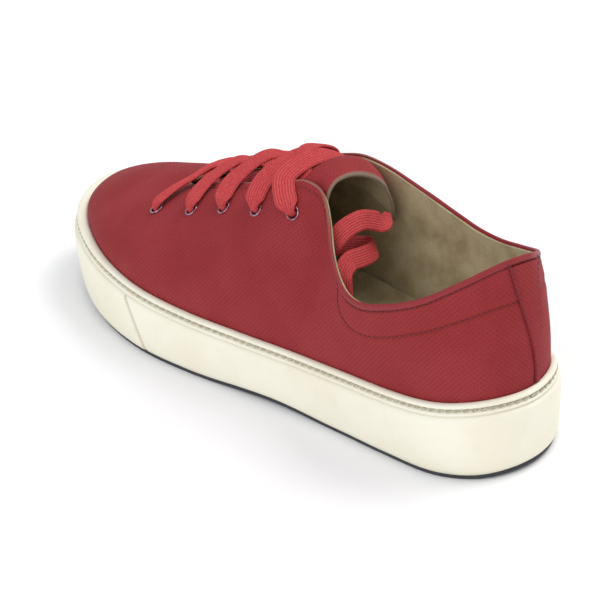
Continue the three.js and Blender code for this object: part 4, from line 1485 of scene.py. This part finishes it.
# ------------------------------------------------------------------------------------------ upper
@dataclass
class Upper:
    """The one-piece canvas upper with its binding, seams, heel strip and lining."""

    last: Last
    finishes: Finishes
    stitches: StitchRow
    columns: int = 620
    rings: int = 104
    lining_columns: int = 400
    punch_sides: int = 24
    punch_half: float = 5.0
    cloth: float = 1.15
    wall: float = 2.0
    margin: float = 6.0
    hole: float = 2.7
    strip_centre: float = 0.065
    strip_foot: float = 0.03
    strip_flare: float = 0.29
    strip_power: float = 2.2
    strip_thickness: float = 0.75
    collar_from: float = -1.33
    collar_to: float = 1.42
    collar_fade: float = 0.1
    binding_width: float = 2.4
    roll_centre: float = 1.1
    roll_half: float = 1.3
    roll_height: float = 0.4
    groove_below: float = 2.75
    groove_width: float = 0.5
    groove_depth: float = 0.35
    topstitch_below: float = 2.9
    topstitch_width: float = 0.8
    topstitch_depth: float = 0.15
    counter_width: float = 1.1
    counter_depth: float = 0.3
    counter_bank: float = 0.14
    bank_width: float = 2.0
    strip_seam_width: float = 0.8
    strip_seam_depth: float = 0.2
    pucker_height: float = 0.07
    billow_height: float = 0.18
    ripple_height: float = 0.12
    notch_height: float = 0.25
    pitch: float = 2.4
    stitch_length: float = 1.9
    thread_thickness: float = 0.42
    reach: float = 12.0
    lining_top: float = 0.988
    notches: tuple[float, float] = (0.62, -0.5)

    def collar(self, angle: np.ndarray) -> np.ndarray:
        """1 along the bound collar and 0 along the raw-edged facings.

        Args:
            angle: the meridians.

        Returns:
            The share at each.
        """
        turn = np.where(angle > math.pi, angle - TURN, angle)
        inside = np.clip((turn - self.collar_from) / self.collar_fade, 0, 1)
        return inside * np.clip((self.collar_to - turn) / self.collar_fade, 0, 1)

    def below(self, angle: np.ndarray, share: np.ndarray) -> np.ndarray:
        """Each point's distance below the open edge along its meridian, in millimetres.

        Args:
            angle: the meridians.
            share: the rings.

        Returns:
            The distances, ring by meridian.
        """
        points = self.last.canvas(angle, share)
        steps = np.linalg.norm(np.diff(points, axis=0), axis=2)
        run = np.vstack([np.zeros(len(angle)), np.cumsum(steps, axis=0)])
        return run[-1] - run

    def seam_distance(self, points: np.ndarray, line: np.ndarray) -> np.ndarray:
        """Each point's distance from a line of points, measured up to the class's reach.

        Args:
            points: any array of points.
            line: the line's points, close together.

        Returns:
            The distances, shaped as the points.
        """
        flat = points.reshape(-1, 3)
        near = np.full(len(flat), self.reach)
        low, high = line.min(0) - self.reach, line.max(0) + self.reach
        chosen = np.flatnonzero(((flat > low) & (flat < high)).all(axis=1))
        for block in np.array_split(chosen, max(1, len(chosen) // 4000)):
            away = flat[block][:, None, :] - line[None, :, :]
            near[block] = np.minimum(near[block], np.sqrt((away**2).sum(axis=2)).min(axis=1))
        return near.reshape(points.shape[:-1])

    def surface_line(self, rows: Sequence[dict], lift: float, count: int = 260) -> np.ndarray:
        """A line on the canvas through rows of turn and share.

        Args:
            rows: the rows.
            lift: its height over the canvas.
            count: how many points.

        Returns:
            The points.
        """
        stops = np.array([[row["turn"], row["share"]] for row in rows])
        run = np.r_[0, np.cumsum(np.hypot(np.diff(stops[:, 0]) * 60, np.diff(stops[:, 1]) * 50))]
        even = np.linspace(0, run[-1], count)
        turn = np.interp(even, run, stops[:, 0])
        share = np.interp(even, run, stops[:, 1])
        kernel = np.ones(9) / 9
        turn = np.convolve(np.pad(turn, 4, mode="edge"), kernel, "valid")
        share = np.convolve(np.pad(share, 4, mode="edge"), kernel, "valid")
        angle = np.mod(turn, TURN)
        return self.last.off(angle, share[None, :], lift)[0]

    def edge_line(self, distance: float, lift: float, start: float, end: float, count: int) -> np.ndarray:
        """A line on the canvas so far below the open edge, between two turns.

        Args:
            distance: how far below.
            lift: its height over the canvas.
            start, end: the turns.
            count: how many points.

        Returns:
            The points.
        """
        angle = np.mod(np.linspace(start, end, count), TURN)
        share = self.last.below_edge(angle, distance)
        return self.last.off(angle, share[None, :], lift)[0]

    def strip_edges(self, lift: float, inset: float = 0.0) -> list[np.ndarray]:
        """The heel strip's two long edges, as lines on the canvas.

        Args:
            lift: their height over the canvas.
            inset: how far inside the edges, in radians.

        Returns:
            The two lines.
        """
        share = np.linspace(0.02, 0.97, 60)
        half = self.strip_foot + self.strip_flare * share**self.strip_power
        lines = []
        for sign in (-1, 1):
            angle = np.mod(self.strip_centre + sign * (half - inset), TURN)
            lines.append(np.array([self.last.off(angle[i:i + 1], share[i:i + 1], lift)[0, 0]
                                   for i in range(len(share))]))
        return lines

    def relief(self, angle: np.ndarray, share: np.ndarray, points: np.ndarray,
               below: np.ndarray) -> tuple[np.ndarray, dict[str, np.ndarray]]:
        """What stands out of or sinks into the canvas, and where its colours change.

        Args:
            angle: the meridians.
            share: the rings.
            points: the canvas, ring by meridian.
            below: the distance below the open edge.

        Returns:
            The shift along the normal in millimetres, and the named values, among them the painted shade of
            the seams.
        """
        collar = np.broadcast_to(self.collar(angle), below.shape)
        roll = np.clip(1 - ((below - self.roll_centre) / self.roll_half) ** 2, 0, 1) ** 0.5
        groove = bell(below - self.groove_below, self.groove_width)
        topstitch = bell(below - self.topstitch_below, self.topstitch_width)
        bound = collar * (self.roll_height * roll - self.groove_depth * groove)
        shift = bound - (1 - collar) * self.topstitch_depth * topstitch
        counter = self.seam_distance(points, self.surface_line(COUNTER_SEAM, 0.0, 420))
        shift -= self.counter_depth * bell(counter, self.counter_width)
        shift += self.counter_bank * bell(counter - 1.5 * self.bank_width, self.bank_width)
        for crease in CREASES:
            ends = ({"turn": crease["turn"], "share": crease["share"]},
                    {"turn": crease["turn_to"], "share": crease["share_to"]})
            away = self.seam_distance(points, self.surface_line(ends, 0.0, 60))
            shift -= crease["depth"] * np.exp(-((away / crease["width"] * 1.6) ** 2))
        strip = np.full(below.shape, self.reach)
        for line in self.strip_edges(0.0):
            strip = np.minimum(strip, self.seam_distance(points, line))
        shift -= self.strip_seam_depth * bell(strip, self.strip_seam_width)
        x, y, z = points[..., 0], points[..., 1], points[..., 2]
        pucker = self.pucker_height * np.sin(y * TURN / 9 + 1.3 * np.sin(y / 17))
        shift += pucker * bell(share[:, None], 0.09)
        wave = np.sin(y / 21 + z / 15) * np.sin(x / 19 - y / 33)
        shift += self.billow_height * wave * np.clip(share[:, None] * (1 - share[:, None]) * 4, 0, 1)
        # painted shade in the troughs of the counter seam and the collar groove, and along the heel strip's
        # edges
        seam = 0.3 * bell(counter, 0.6) + 0.8 * collar * bell(below - self.groove_below, 0.4)
        seam = np.maximum(seam, 0.75 * bell(strip, 0.5))
        binding = collar * np.clip((self.binding_width - below) / 0.3, 0, 1)
        raw = (1 - collar) * np.clip((0.3 - below) / 0.3, 0, 1)
        return shift, {"seam": seam, "binding": binding, "raw": raw}

    def canvas(self) -> bpy.types.Object:
        """The canvas: its outside with all relief, its rounded open edge and its inside.

        Returns:
            The dressed piece.
        """
        angle = self.last.meridians(self.columns)
        linear = np.linspace(0, 1, self.rings)
        share = 1 - (1 - linear) ** 1.35
        points = self.last.canvas(angle, share)
        normal = self.last.normal(angle, share)
        below = self.below(angle, share)
        shift, values = self.relief(angle, share, points, below)
        outer = points + normal * shift[..., None]
        edge_up = unit(points[-1] - points[-3])
        edge = []
        for turn in (0.25, 0.5, 0.75):
            through = self.cloth * (1 - math.cos(turn * math.pi)) / 2
            rise = self.cloth * 0.45 * math.sin(turn * math.pi)
            edge.append(outer[-1] - normal[-1] * through + edge_up * rise)
        inner_share = np.linspace(1, 0, 9)
        inner = self.last.off(angle, inner_share, -self.cloth)
        rings = [*outer, *edge, *inner, *self.feet(angle, self.cloth, 0.0)]
        spread = {}
        collar = self.collar(angle)
        for key, block in values.items():
            tail = np.zeros((len(rings) - len(outer), self.columns))
            if key == "raw":
                tail[1:len(edge) - 1] = 1 - collar
            if key == "binding":
                tail[:len(edge) + 1] = collar
            spread[key] = np.concatenate([block, tail])
        shell = build("upper_canvas", np.concatenate(rings), [quads(len(rings), self.columns, True, True)],
                      [self.finishes.canvas], values=spread)
        cut(shell, self.punches())
        return dress(shell, "canvas", "upper")

    def feet(self, angle: np.ndarray, *depths: float) -> list[np.ndarray]:
        """The rings at which a layer stops inside the cupsole, at some depths in from the canvas."""
        height = self.last.rim(station_of(angle)) - self.margin + CLEARANCE
        return [self.last.in_plan(angle, self.last.canvas_inset + depth, height) for depth in depths]

    def punches(self) -> bpy.types.Object:
        """The eyelet holes as one cutting mesh.

        Returns:
            The cutter.
        """
        half = self.punch_half
        profile = [(0.01, -half), (self.hole, -half), (self.hole, half), (0.01, half)]
        parts = []
        for side in Side:
            for row in EYELETS:
                point, normal = self.last.facing_place(side, row["y"], row["from_edge"])
                parts.append(turned(profile, self.punch_sides, point, normal))
        points, faces = merged(parts)
        return build("punches", points, [faces], [])

    def lining(self) -> bpy.types.Object:
        """The lining inside the canvas, from the open edge to the bed.

        Returns:
            The dressed piece.
        """
        angle = self.last.meridians(self.lining_columns)
        out_share = np.linspace(0, self.lining_top, 8)
        in_share = 1 - (1 - np.linspace(0, 1, 40)) ** 1.3
        in_share = (in_share * self.lining_top)[::-1]
        outside = self.last.off(angle, out_share, -self.cloth - 0.05)
        inside = self.last.off(angle, in_share, -self.wall)
        turn = np.where(angle > math.pi, angle - TURN, angle)
        notch = sum(bell(turn - at, 0.008) for at in self.notches)
        inside += self.last.normal(angle, in_share) * (self.notch_height * notch[None, :, None])
        y, z = inside[..., 1], inside[..., 2]
        ripple = np.sin(y / 11 + z / 7) * np.sin(z / 9 - y / 23)
        inside -= self.last.normal(angle, in_share) * (self.ripple_height * ripple)[..., None]
        rings = [*outside, *inside, *self.feet(angle, self.wall, self.cloth + 0.05)]
        seam = np.zeros((len(rings), len(angle)))
        # painted shade in the groove of the lining's seam notch
        seam[len(outside):len(outside) + len(inside)] = 0.8 * notch
        raw = np.zeros_like(seam)
        made = build("upper_lining", np.concatenate(rings), [quads(len(rings), len(angle), True, True)],
                     [self.finishes.lining], values={"seam": seam, "raw": raw})
        cut(made, self.punches())
        return dress(made, "lining")

    def heel_strip(self) -> bpy.types.Object:
        """The tapered strip over the heel seam, with its edges turned under.

        Returns:
            The dressed piece.
        """
        share = np.linspace(0.012, 0.955, 70)
        across = np.linspace(-1, 1, 29)
        profile = self.strip_thickness * (1 - np.abs(across) ** 10) ** 0.5
        outer, inner = [], []
        for s in share:
            half = self.strip_foot + self.strip_flare * s**self.strip_power
            angle = np.mod(self.strip_centre + half * across, TURN)
            one = np.array([s])
            outer.append(self.last.off(angle, one, (0.12 + profile)[None, :, None])[0])
            inner.append(self.last.off(angle, one, 0.02)[0][::-1])
        rings = [np.vstack([a, b]) for a, b in zip(outer, inner)]
        size = 2 * len(across)
        i = np.arange(size // 2 - 1)
        end = np.stack([i, i + 1, size - 2 - i, size - 1 - i], axis=-1)
        faces = [quads(len(rings), size, True, False), end[:, ::-1], end + (len(rings) - 1) * size]
        points = np.concatenate(rings)
        # painted shade: the strip's outside is darkened along its two edges
        rows = np.tile(np.r_[np.exp(-(((1 - np.abs(across)) * 4) ** 2)), np.zeros(len(across))], len(rings))
        blank = np.zeros(len(points))
        strip = build("heel_strip_canvas", points, faces, [self.finishes.canvas],
                      values={"seam": 0.35 * rows, "binding": blank, "raw": blank})
        return dress(strip, "canvas", "heel_strip")

    def seams(self) -> bpy.types.Object:
        """Every row of red stitches on the upper.

        Returns:
            The dressed piece.
        """
        lines = [
            self.surface_line(COUNTER_SEAM, -0.12, 420),
            self.edge_line(self.groove_below, -0.1, self.collar_from, self.collar_to, 500),
            self.edge_line(self.topstitch_below, 0.02, self.collar_to, TURN + self.collar_from, 600),
            *self.strip_edges(self.strip_thickness, 0.022),
        ]
        sewn = self.stitches.sew("upper_stitches", lines, self.finishes.thread, self.pitch,
                                 self.stitch_length, self.thread_thickness)
        return dress(sewn, "canvas")


# ------------------------------------------------------------------------------------------ tongue
@dataclass
class Tongue:
    """The unpadded canvas tongue, lined with beige, its edge left raw."""

    last: Last
    finishes: Finishes
    start: float = 52.0
    end: float = -27.0
    wall: float = 2.0
    clear: float = 0.8
    front_flap: float = 9.0
    back_flap: float = 21.0
    thickness: float = 1.4
    bulge: float = 0.8
    rise: float = 0.36
    ripple: float = 0.25
    ripple_length: float = 6.5
    stations: int = 90
    flap_points: int = 13
    crown_points: int = 24
    front: tuple[tuple[float, float], ...] = ((22.0, 14.5), (17.0, 10.8), (12.0, 7.5), (6.0, 3.6))
    curl: tuple[float, float, float] = (-1.6, -5.0, -1.5)
    curl_length: float = 13.0
    roll: tuple[float, float, float] = (-5.0, -0.6, -2.6)
    roll_length: float = 7.5
    roll_centre: float = 0.66
    roll_spread: float = 0.24

    def section(self, y: float, flap: float) -> np.ndarray:
        """One section, from the flap under the lateral facing over the instep to the medial flap.

        Args:
            y: its place along the shoe.
            flap: how far it reaches under each facing.

        Returns:
            Its points.
        """
        off = -(self.wall + self.clear)
        sides = []
        for side in Side:
            angle = np.array([self.last.edge_angle(side, y)])
            share = self.last.share_below(angle[0], flap * np.linspace(1, 0, self.flap_points))
            sides.append(self.last.off(angle, share, off)[:, 0])
        lateral, medial = sides[0], sides[1][::-1]
        reach = np.linalg.norm(lateral[-1] - medial[0]) * self.rise
        rising = lateral[-1] + unit(lateral[-1] - lateral[-3]) * reach
        falling = medial[0] + unit(medial[0] - medial[2]) * reach
        s = np.linspace(0, 1, self.crown_points + 2)[1:-1, None]
        r = 1 - s
        crown = r**3 * lateral[-1] + 3 * r**2 * s * rising + 3 * r * s**2 * falling + s**3 * medial[0]
        return np.vstack([lateral, crown, medial])

    def make(self) -> bpy.types.Object:
        """The tongue: red canvas outside, beige inside, a raw edge all round.

        Returns:
            The dressed piece.
        """
        share = np.linspace(0, 1, self.stations)
        outer = [self.section(self.start + (self.end - self.start) * s,
                              self.front_flap + (self.back_flap - self.front_flap) * s) for s in share]
        outer = np.array(outer)
        outer = np.concatenate([outer[:1] + np.array([0.0, lap, -dip]) for lap, dip in self.front] + [outer])
        ease = np.sin(np.linspace(0, 1, outer.shape[1]) * math.pi)
        across = np.gradient(outer, axis=1)
        inward = unit(np.stack([across[..., 2], 0 * across[..., 0], -across[..., 0]], axis=-1))
        across_share = np.linspace(0, 1, outer.shape[1])
        near_end = (1 - np.linspace(0, 1, len(outer))) * (self.start - self.end)
        curl = np.clip(1 - near_end / self.curl_length, 0, 1) ** 2
        roll = np.clip(1 - near_end / self.roll_length, 0, 1) ** 2
        medial = np.clip((across_share - 0.35) / 0.4, 0, 1)
        shoulder = np.exp(-(((across_share - self.roll_centre) / self.roll_spread) ** 2))
        outer += (curl[:, None] * medial)[..., None] * np.array(self.curl)
        outer += (roll[:, None] * shoulder)[..., None] * np.array(self.roll)
        outer -= inward * (self.ripple * ease * np.sin(outer[..., 1] / self.ripple_length))[..., None]
        inner = outer + inward * self.thickness
        half = self.thickness / 2
        rows = []
        for ring_out, ring_in in zip(outer, inner):
            past_lateral = unit(ring_out[1] - ring_out[0]) * half * self.bulge
            past_medial = unit(ring_out[-1] - ring_out[-2]) * half * self.bulge
            lateral_edge = (ring_out[0] + ring_in[0]) / 2 - past_lateral
            medial_edge = (ring_out[-1] + ring_in[-1]) / 2 + past_medial
            rows.append(np.vstack([ring_out, medial_edge, ring_in[::-1], lateral_edge])[::-1])
        size = len(rows[0])
        count = outer.shape[1]
        order = np.arange(size)[::-1]
        inside = (order > count) & (order < size - 1)
        edge = (order == count) | (order == size - 1)
        i = np.arange(size // 2 - 1)
        end = np.stack([i, i + 1, size - 2 - i, size - 1 - i], axis=-1)
        faces = [quads(len(rows), size, True, False), end[:, ::-1], end + (len(rows) - 1) * size]
        which = np.tile((inside & np.roll(inside, -1)).astype(int), len(rows) - 1)
        which = np.r_[which, np.zeros(2 * len(end), int)]
        raw = np.tile(np.where(edge, 1.0, 0.0), len(rows))
        raw[-size:] = 1.0
        points = np.concatenate(rows)
        blank = np.zeros(len(points))
        values = {"seam": blank, "binding": blank, "raw": raw}
        made = build("tongue_canvas", points, faces, [self.finishes.canvas, self.finishes.lining], which,
                     values)
        return dress(made, "canvas", "tongue")


# ------------------------------------------------------------------------------------------ insole
@dataclass
class Insole:
    """The brushed sock on its footbed, raised at the arch and round its edge."""

    last: Last
    finishes: Finishes
    columns: int = 360
    inset: float = 6.3
    foot_below: float = 5.7
    arch_lift: float = 3.5
    arch_from: float = 0.28
    arch_to: float = 0.62

    def make(self) -> bpy.types.Object:
        """The insole as one closed form.

        Returns:
            The dressed piece.
        """
        angle = self.last.meridians(self.columns)
        station = station_of(angle)
        bed = self.last.footbed(station)
        share = np.clip((station - self.arch_from) / (self.arch_to - self.arch_from), 0, 1)
        lift = np.where(angle > math.pi, 0, self.arch_lift * np.sin(np.pi * share) ** 2)
        rings = []
        for row in SOCK_SECTION:
            height = bed + row["height"] + lift * row["lift"]
            rings.append(self.last.in_plan(angle, self.inset + row["inset"], height))
        rings[0][:, 2] = self.last.rim(station) - self.foot_below
        points = np.concatenate(rings)
        blank = np.zeros(len(points))
        made = build("insole_sock", points, capped(len(rings), len(angle)), [self.finishes.sock],
                     values={"seam": blank, "raw": blank})
        return dress(made, "lining", "insole")


# ------------------------------------------------------------------------------------------ lacing
@dataclass
class Lacing:
    """The eyelets, and the flat lace that runs through them and ends inside the collar."""

    last: Last
    finishes: Finishes
    width: float = 8.4
    thickness: float = 1.25
    ribs: int = 8
    rib_depth: float = 0.2
    pinched: float = 3.0
    pinched_thickness: float = 1.9
    under: float = 2.75
    over: float = 2.7
    eyelet_sides: int = 36
    strand_steps: int = 84
    end_steps: int = 240

    def eyelets(self) -> list[bpy.types.Object]:
        """The ten eyelets: a rolled rim over the canvas and a barrel through it.

        Returns:
            The dressed pieces.
        """
        made = []
        for side in Side:
            for row in EYELETS:
                node = f"eyelet_{side.name.lower()}_{row['pair']}"
                point, normal = self.last.facing_place(side, row["y"], row["from_edge"])
                points, faces = turned(EYELET_PROFILE, self.eyelet_sides, point, normal)
                ring = build(f"{node}_rolled", points, [faces], [self.finishes.metal])
                made.append(dress(ring, "eyelet_metal", node))
        return made

    def ribbon(self, stops: np.ndarray, steps: int) -> tuple[np.ndarray, np.ndarray, dict[str, np.ndarray]]:
        """A flat woven ribbon through stops.

        Args:
            stops: rows of a point, the way its flat side faces, its width and its thickness.
            steps: how many steps along it.

        Returns:
            Points, faces and the values that its weave reads.
        """
        path = smooth_path(stops, steps)
        centre, facing, width, thickness = path[:, :3], path[:, 3:6], path[:, 6], path[:, 7]
        along = unit(np.gradient(centre, axis=0))
        across = unit(np.cross(along, facing))
        through = np.cross(across, along)
        u = np.linspace(-1, 1, 4 * self.ribs + 1)
        body = (1 - np.abs(u) ** 6) ** 0.5
        rib = 0.5 + 0.5 * np.cos(u * self.ribs * math.pi)
        top = body / 2
        rows = np.r_[np.stack([u, top, rib], axis=-1), np.stack([u, -top, rib], axis=-1)[::-1][1:-1]]
        swell = np.where(rows[:, 1] >= 0, 1, -1) * rows[:, 2] * self.rib_depth
        sideways = rows[:, 0][None, :, None] * (width / 2)[:, None, None] * across[:, None, :]
        depth = rows[:, 1][None, :] * thickness[:, None] + swell[None, :] * (np.abs(rows[:, 1]) > 0.02)
        points = centre[:, None, :] + sideways + depth[..., None] * through[:, None, :]
        size = len(rows)
        i = np.arange(size // 2 - 1)
        end = np.stack([i + 1, i + 2, (size - 1 - i) % size, (size - i) % size], axis=-1)
        far_end = (end + (len(path) - 1) * size)[:, ::-1]
        faces = np.concatenate([quads(len(path), size, True, False), end, far_end])
        values = {"rib": np.tile(rows[:, 2], len(path)), "run": np.repeat(running(centre), size)}
        return points.reshape(-1, 3), faces[:, ::-1], values

    def stop(self, point: np.ndarray, facing: np.ndarray, width: float, thickness: float = 0.0) -> np.ndarray:
        """One row of a ribbon's stops."""
        return np.r_[point, unit(facing), width, thickness or self.thickness]

    @staticmethod
    def rolled(facing: np.ndarray, angle: float) -> np.ndarray:
        """A facing rolled towards the toe by an angle."""
        return unit(facing) * math.cos(angle) + TOEWARDS * math.sin(angle)

    def strand(self, row: dict) -> np.ndarray:
        """The stops of a strand: up through an eyelet, over the throat and under the other facing.

        Args:
            row: the strand's row in its table.

        Returns:
            Rows as stop() gives them.
        """
        start, end = EYELETS[row["start"] - 1], EYELETS[row["end"] - 1]
        side, lean, width = Side(row["side"]), row["lean"], row["width"]
        roll, rise = math.radians(row["roll"]), end["y"] - start["y"]
        up = unit(np.array([0.0, 0.34, 0.94]))
        first, normal = self.last.facing_place(side, start["y"], start["from_edge"])
        half, half_normal = self.last.facing_place(side, start["y"] + rise * 0.1 + lean * 0.6,
                                                   start["from_edge"] * 0.45)
        edge, edge_normal = self.last.facing_place(side, start["y"] + rise * 0.25 + lean, 0.0)
        far, far_normal = self.last.facing_place(side.other, start["y"] + rise * 0.75, 0.0)
        beneath, beneath_normal = self.last.facing_place(side.other, start["y"] + rise * 0.85,
                                                         end["from_edge"] * 0.4)
        last, last_normal = self.last.facing_place(side.other, end["y"], end["from_edge"])
        away = unit(half - first)
        crown = (edge + far) / 2 + up * row["crown"]
        inward = unit(edge - far)
        stops = [
            self.stop(first - 2.4 * normal, -away, self.pinched, self.pinched_thickness),
            self.stop(first + 0.5 * normal, -away, self.pinched, self.pinched_thickness),
            self.stop(first + 2.0 * normal + 1.2 * away, normal - 0.5 * away, 5.2, 1.7),
            self.stop(first + self.over * normal + 3.8 * away, self.rolled(normal, roll * 0.8), 0.95 * width),
            self.stop(half + half_normal * self.over, self.rolled(half_normal, roll), width),
            self.stop(edge + (edge_normal + up) * 1.5, self.rolled(edge_normal + up, roll), width),
            self.stop(crown, self.rolled(up, roll * 0.8), width),
            self.stop(far + inward * 5.5 - up * 0.2, self.rolled(up + far_normal, roll * 0.4), width),
            self.stop(far - far_normal * self.under + inward * 1.5, far_normal + 0.2 * up, width, 0.7),
            self.stop(beneath - beneath_normal * self.under, beneath_normal, width * 0.8, 0.6),
            self.stop(last - last_normal * (self.under + 0.1), last_normal, self.pinched, 0.6),
        ]
        return np.array(stops)

    def crossings(self) -> bpy.types.Object:
        """Every strand over the throat, as one piece.

        Returns:
            The dressed piece.
        """
        parts, values = [], {"rib": [], "run": []}
        for row in STRANDS:
            points, faces, marks = self.ribbon(self.strand(row), self.strand_steps)
            parts.append((points, faces))
            for key, numbers in marks.items():
                values[key].append(numbers)
        points, faces = merged(parts)
        made = build("lace_strands", points, [faces], [self.finishes.lace],
                     values={key: np.concatenate(numbers) for key, numbers in values.items()})
        return dress(made, "lace", "lace_crossings")

    def loose_end(self) -> bpy.types.Object:
        """The end of the lace, tucked into the collar.

        Returns:
            The dressed piece.
        """
        stops = np.array([self.stop(np.array([row["x"], row["y"], row["z"]]), np.array(row["facing"]),
                                    self.width) for row in LACE_END])
        stops[:2, 6] = self.pinched, 0.8 * self.width
        points, faces, values = self.ribbon(stops, self.end_steps)
        route = metres(smooth_path(stops, self.end_steps)[:, :3])
        made = build("lace_end_tucked", points, [faces], [self.finishes.lace], values=values)
        dress(made, "lace", "lace_end")
        return made


# ------------------------------------------------------------------------------------------ studio
@dataclass(frozen=True)
class Viewpoint:
    """Where the camera stands and how it is turned, in degrees and metres."""

    azimuth: float = -44.0
    elevation: float = 30.657
    roll: float = -2.927
    eye: tuple[float, float, float] = (-0.92995, -0.96159, 0.81806)
    lens: float = 223.7
    sensor: float = 36.0

    def make(self) -> bpy.types.Object:
        """The camera.

        Returns:
            The scene's camera.
        """
        a, e, g = (math.radians(v) for v in (self.azimuth, self.elevation, self.roll))
        back = np.array([math.sin(a) * math.cos(e), -math.cos(a) * math.cos(e), math.sin(e)])
        level = np.array([math.cos(a), math.sin(a), 0.0])
        upright = np.cross(back, level)
        right = math.cos(g) * level + math.sin(g) * upright
        up = math.cos(g) * upright - math.sin(g) * level
        data = bpy.data.cameras.new("camera")
        data.lens = self.lens
        data.sensor_width = self.sensor
        data.clip_start = 0.01
        camera = bpy.data.objects.new("camera", data)
        columns = [[*row, at] for row, at in zip(np.column_stack([right, up, back]), self.eye)]
        camera.matrix_world = Matrix([*columns, [0, 0, 0, 1]])
        bpy.context.scene.collection.objects.link(camera)
        bpy.context.scene.camera = camera
        return camera


@dataclass
class Studio:
    """A pale floor, soft lights and an even surround."""

    surround: float = 0.66
    surround_tint: str = "#f7f9ff"
    floor_half: float = 6.0
    aim: tuple[float, float, float] = (0.0, 0.0, 0.04)

    def light(self, name: str, place: Sequence[float], size: float, watts: float, tint: str) -> None:
        """A square soft box that looks at the shoe.

        Args:
            name: its name.
            place: where it stands, in metres.
            size: its width, in metres.
            watts: its power.
            tint: its colour, as a hex code.
        """
        data = bpy.data.lights.new(name, "AREA")
        data.shape = "SQUARE"
        data.size = size
        data.energy = watts
        data.color = colour(tint)[:3]
        box = bpy.data.objects.new(name, data)
        back = unit(np.array(place, float) - np.array(self.aim))
        right = unit(np.cross(UP, back))
        turn = np.column_stack([right, np.cross(back, right), back])
        box.matrix_world = Matrix([[*row, at] for row, at in zip(turn, place)] + [[0, 0, 0, 1]])
        bpy.context.scene.collection.objects.link(box)

    def make(self) -> None:
        """Sets up the floor, the lights and the surround."""
        half = self.floor_half / MM
        corners = np.array([[-half, -half, 0], [half, -half, 0], [half, half, 0], [-half, half, 0]])
        floor = build("floor", corners, [np.array([[0, 1, 2, 3]])], [StudioPaper().make()], smooth=False)
        for box in SOFTBOXES:
            self.light(**box)
        world = bpy.data.worlds.new("surround")
        world.use_nodes = True
        background = world.node_tree.nodes["Background"]
        background.inputs["Color"].default_value = colour(self.surround_tint)
        background.inputs["Strength"].default_value = self.surround
        bpy.context.scene.world = world
        bpy.context.scene.view_settings.view_transform = "Standard"


def main() -> None:
    """Builds the camera, the shoe and the studio in order."""
    logging.basicConfig(level=logging.INFO, format="%(name)s %(message)s")
    Viewpoint().make()
    last, finishes, stitches = Last(), Finishes(), StitchRow()
    lacing = Lacing(last, finishes)
    lacing.loose_end()
    lacing.crossings()
    lacing.eyelets()
    sole = Sole(last, finishes, stitches)
    sole.cupsole()
    sole.groove_stitches()
    sole.outsole()
    upper = Upper(last, finishes, stitches)
    upper.canvas()
    upper.lining()
    upper.heel_strip()
    upper.seams()
    Tongue(last, finishes).make()
    Insole(last, finishes).make()
    Studio().make()


if __name__ == "__main__":
    main()
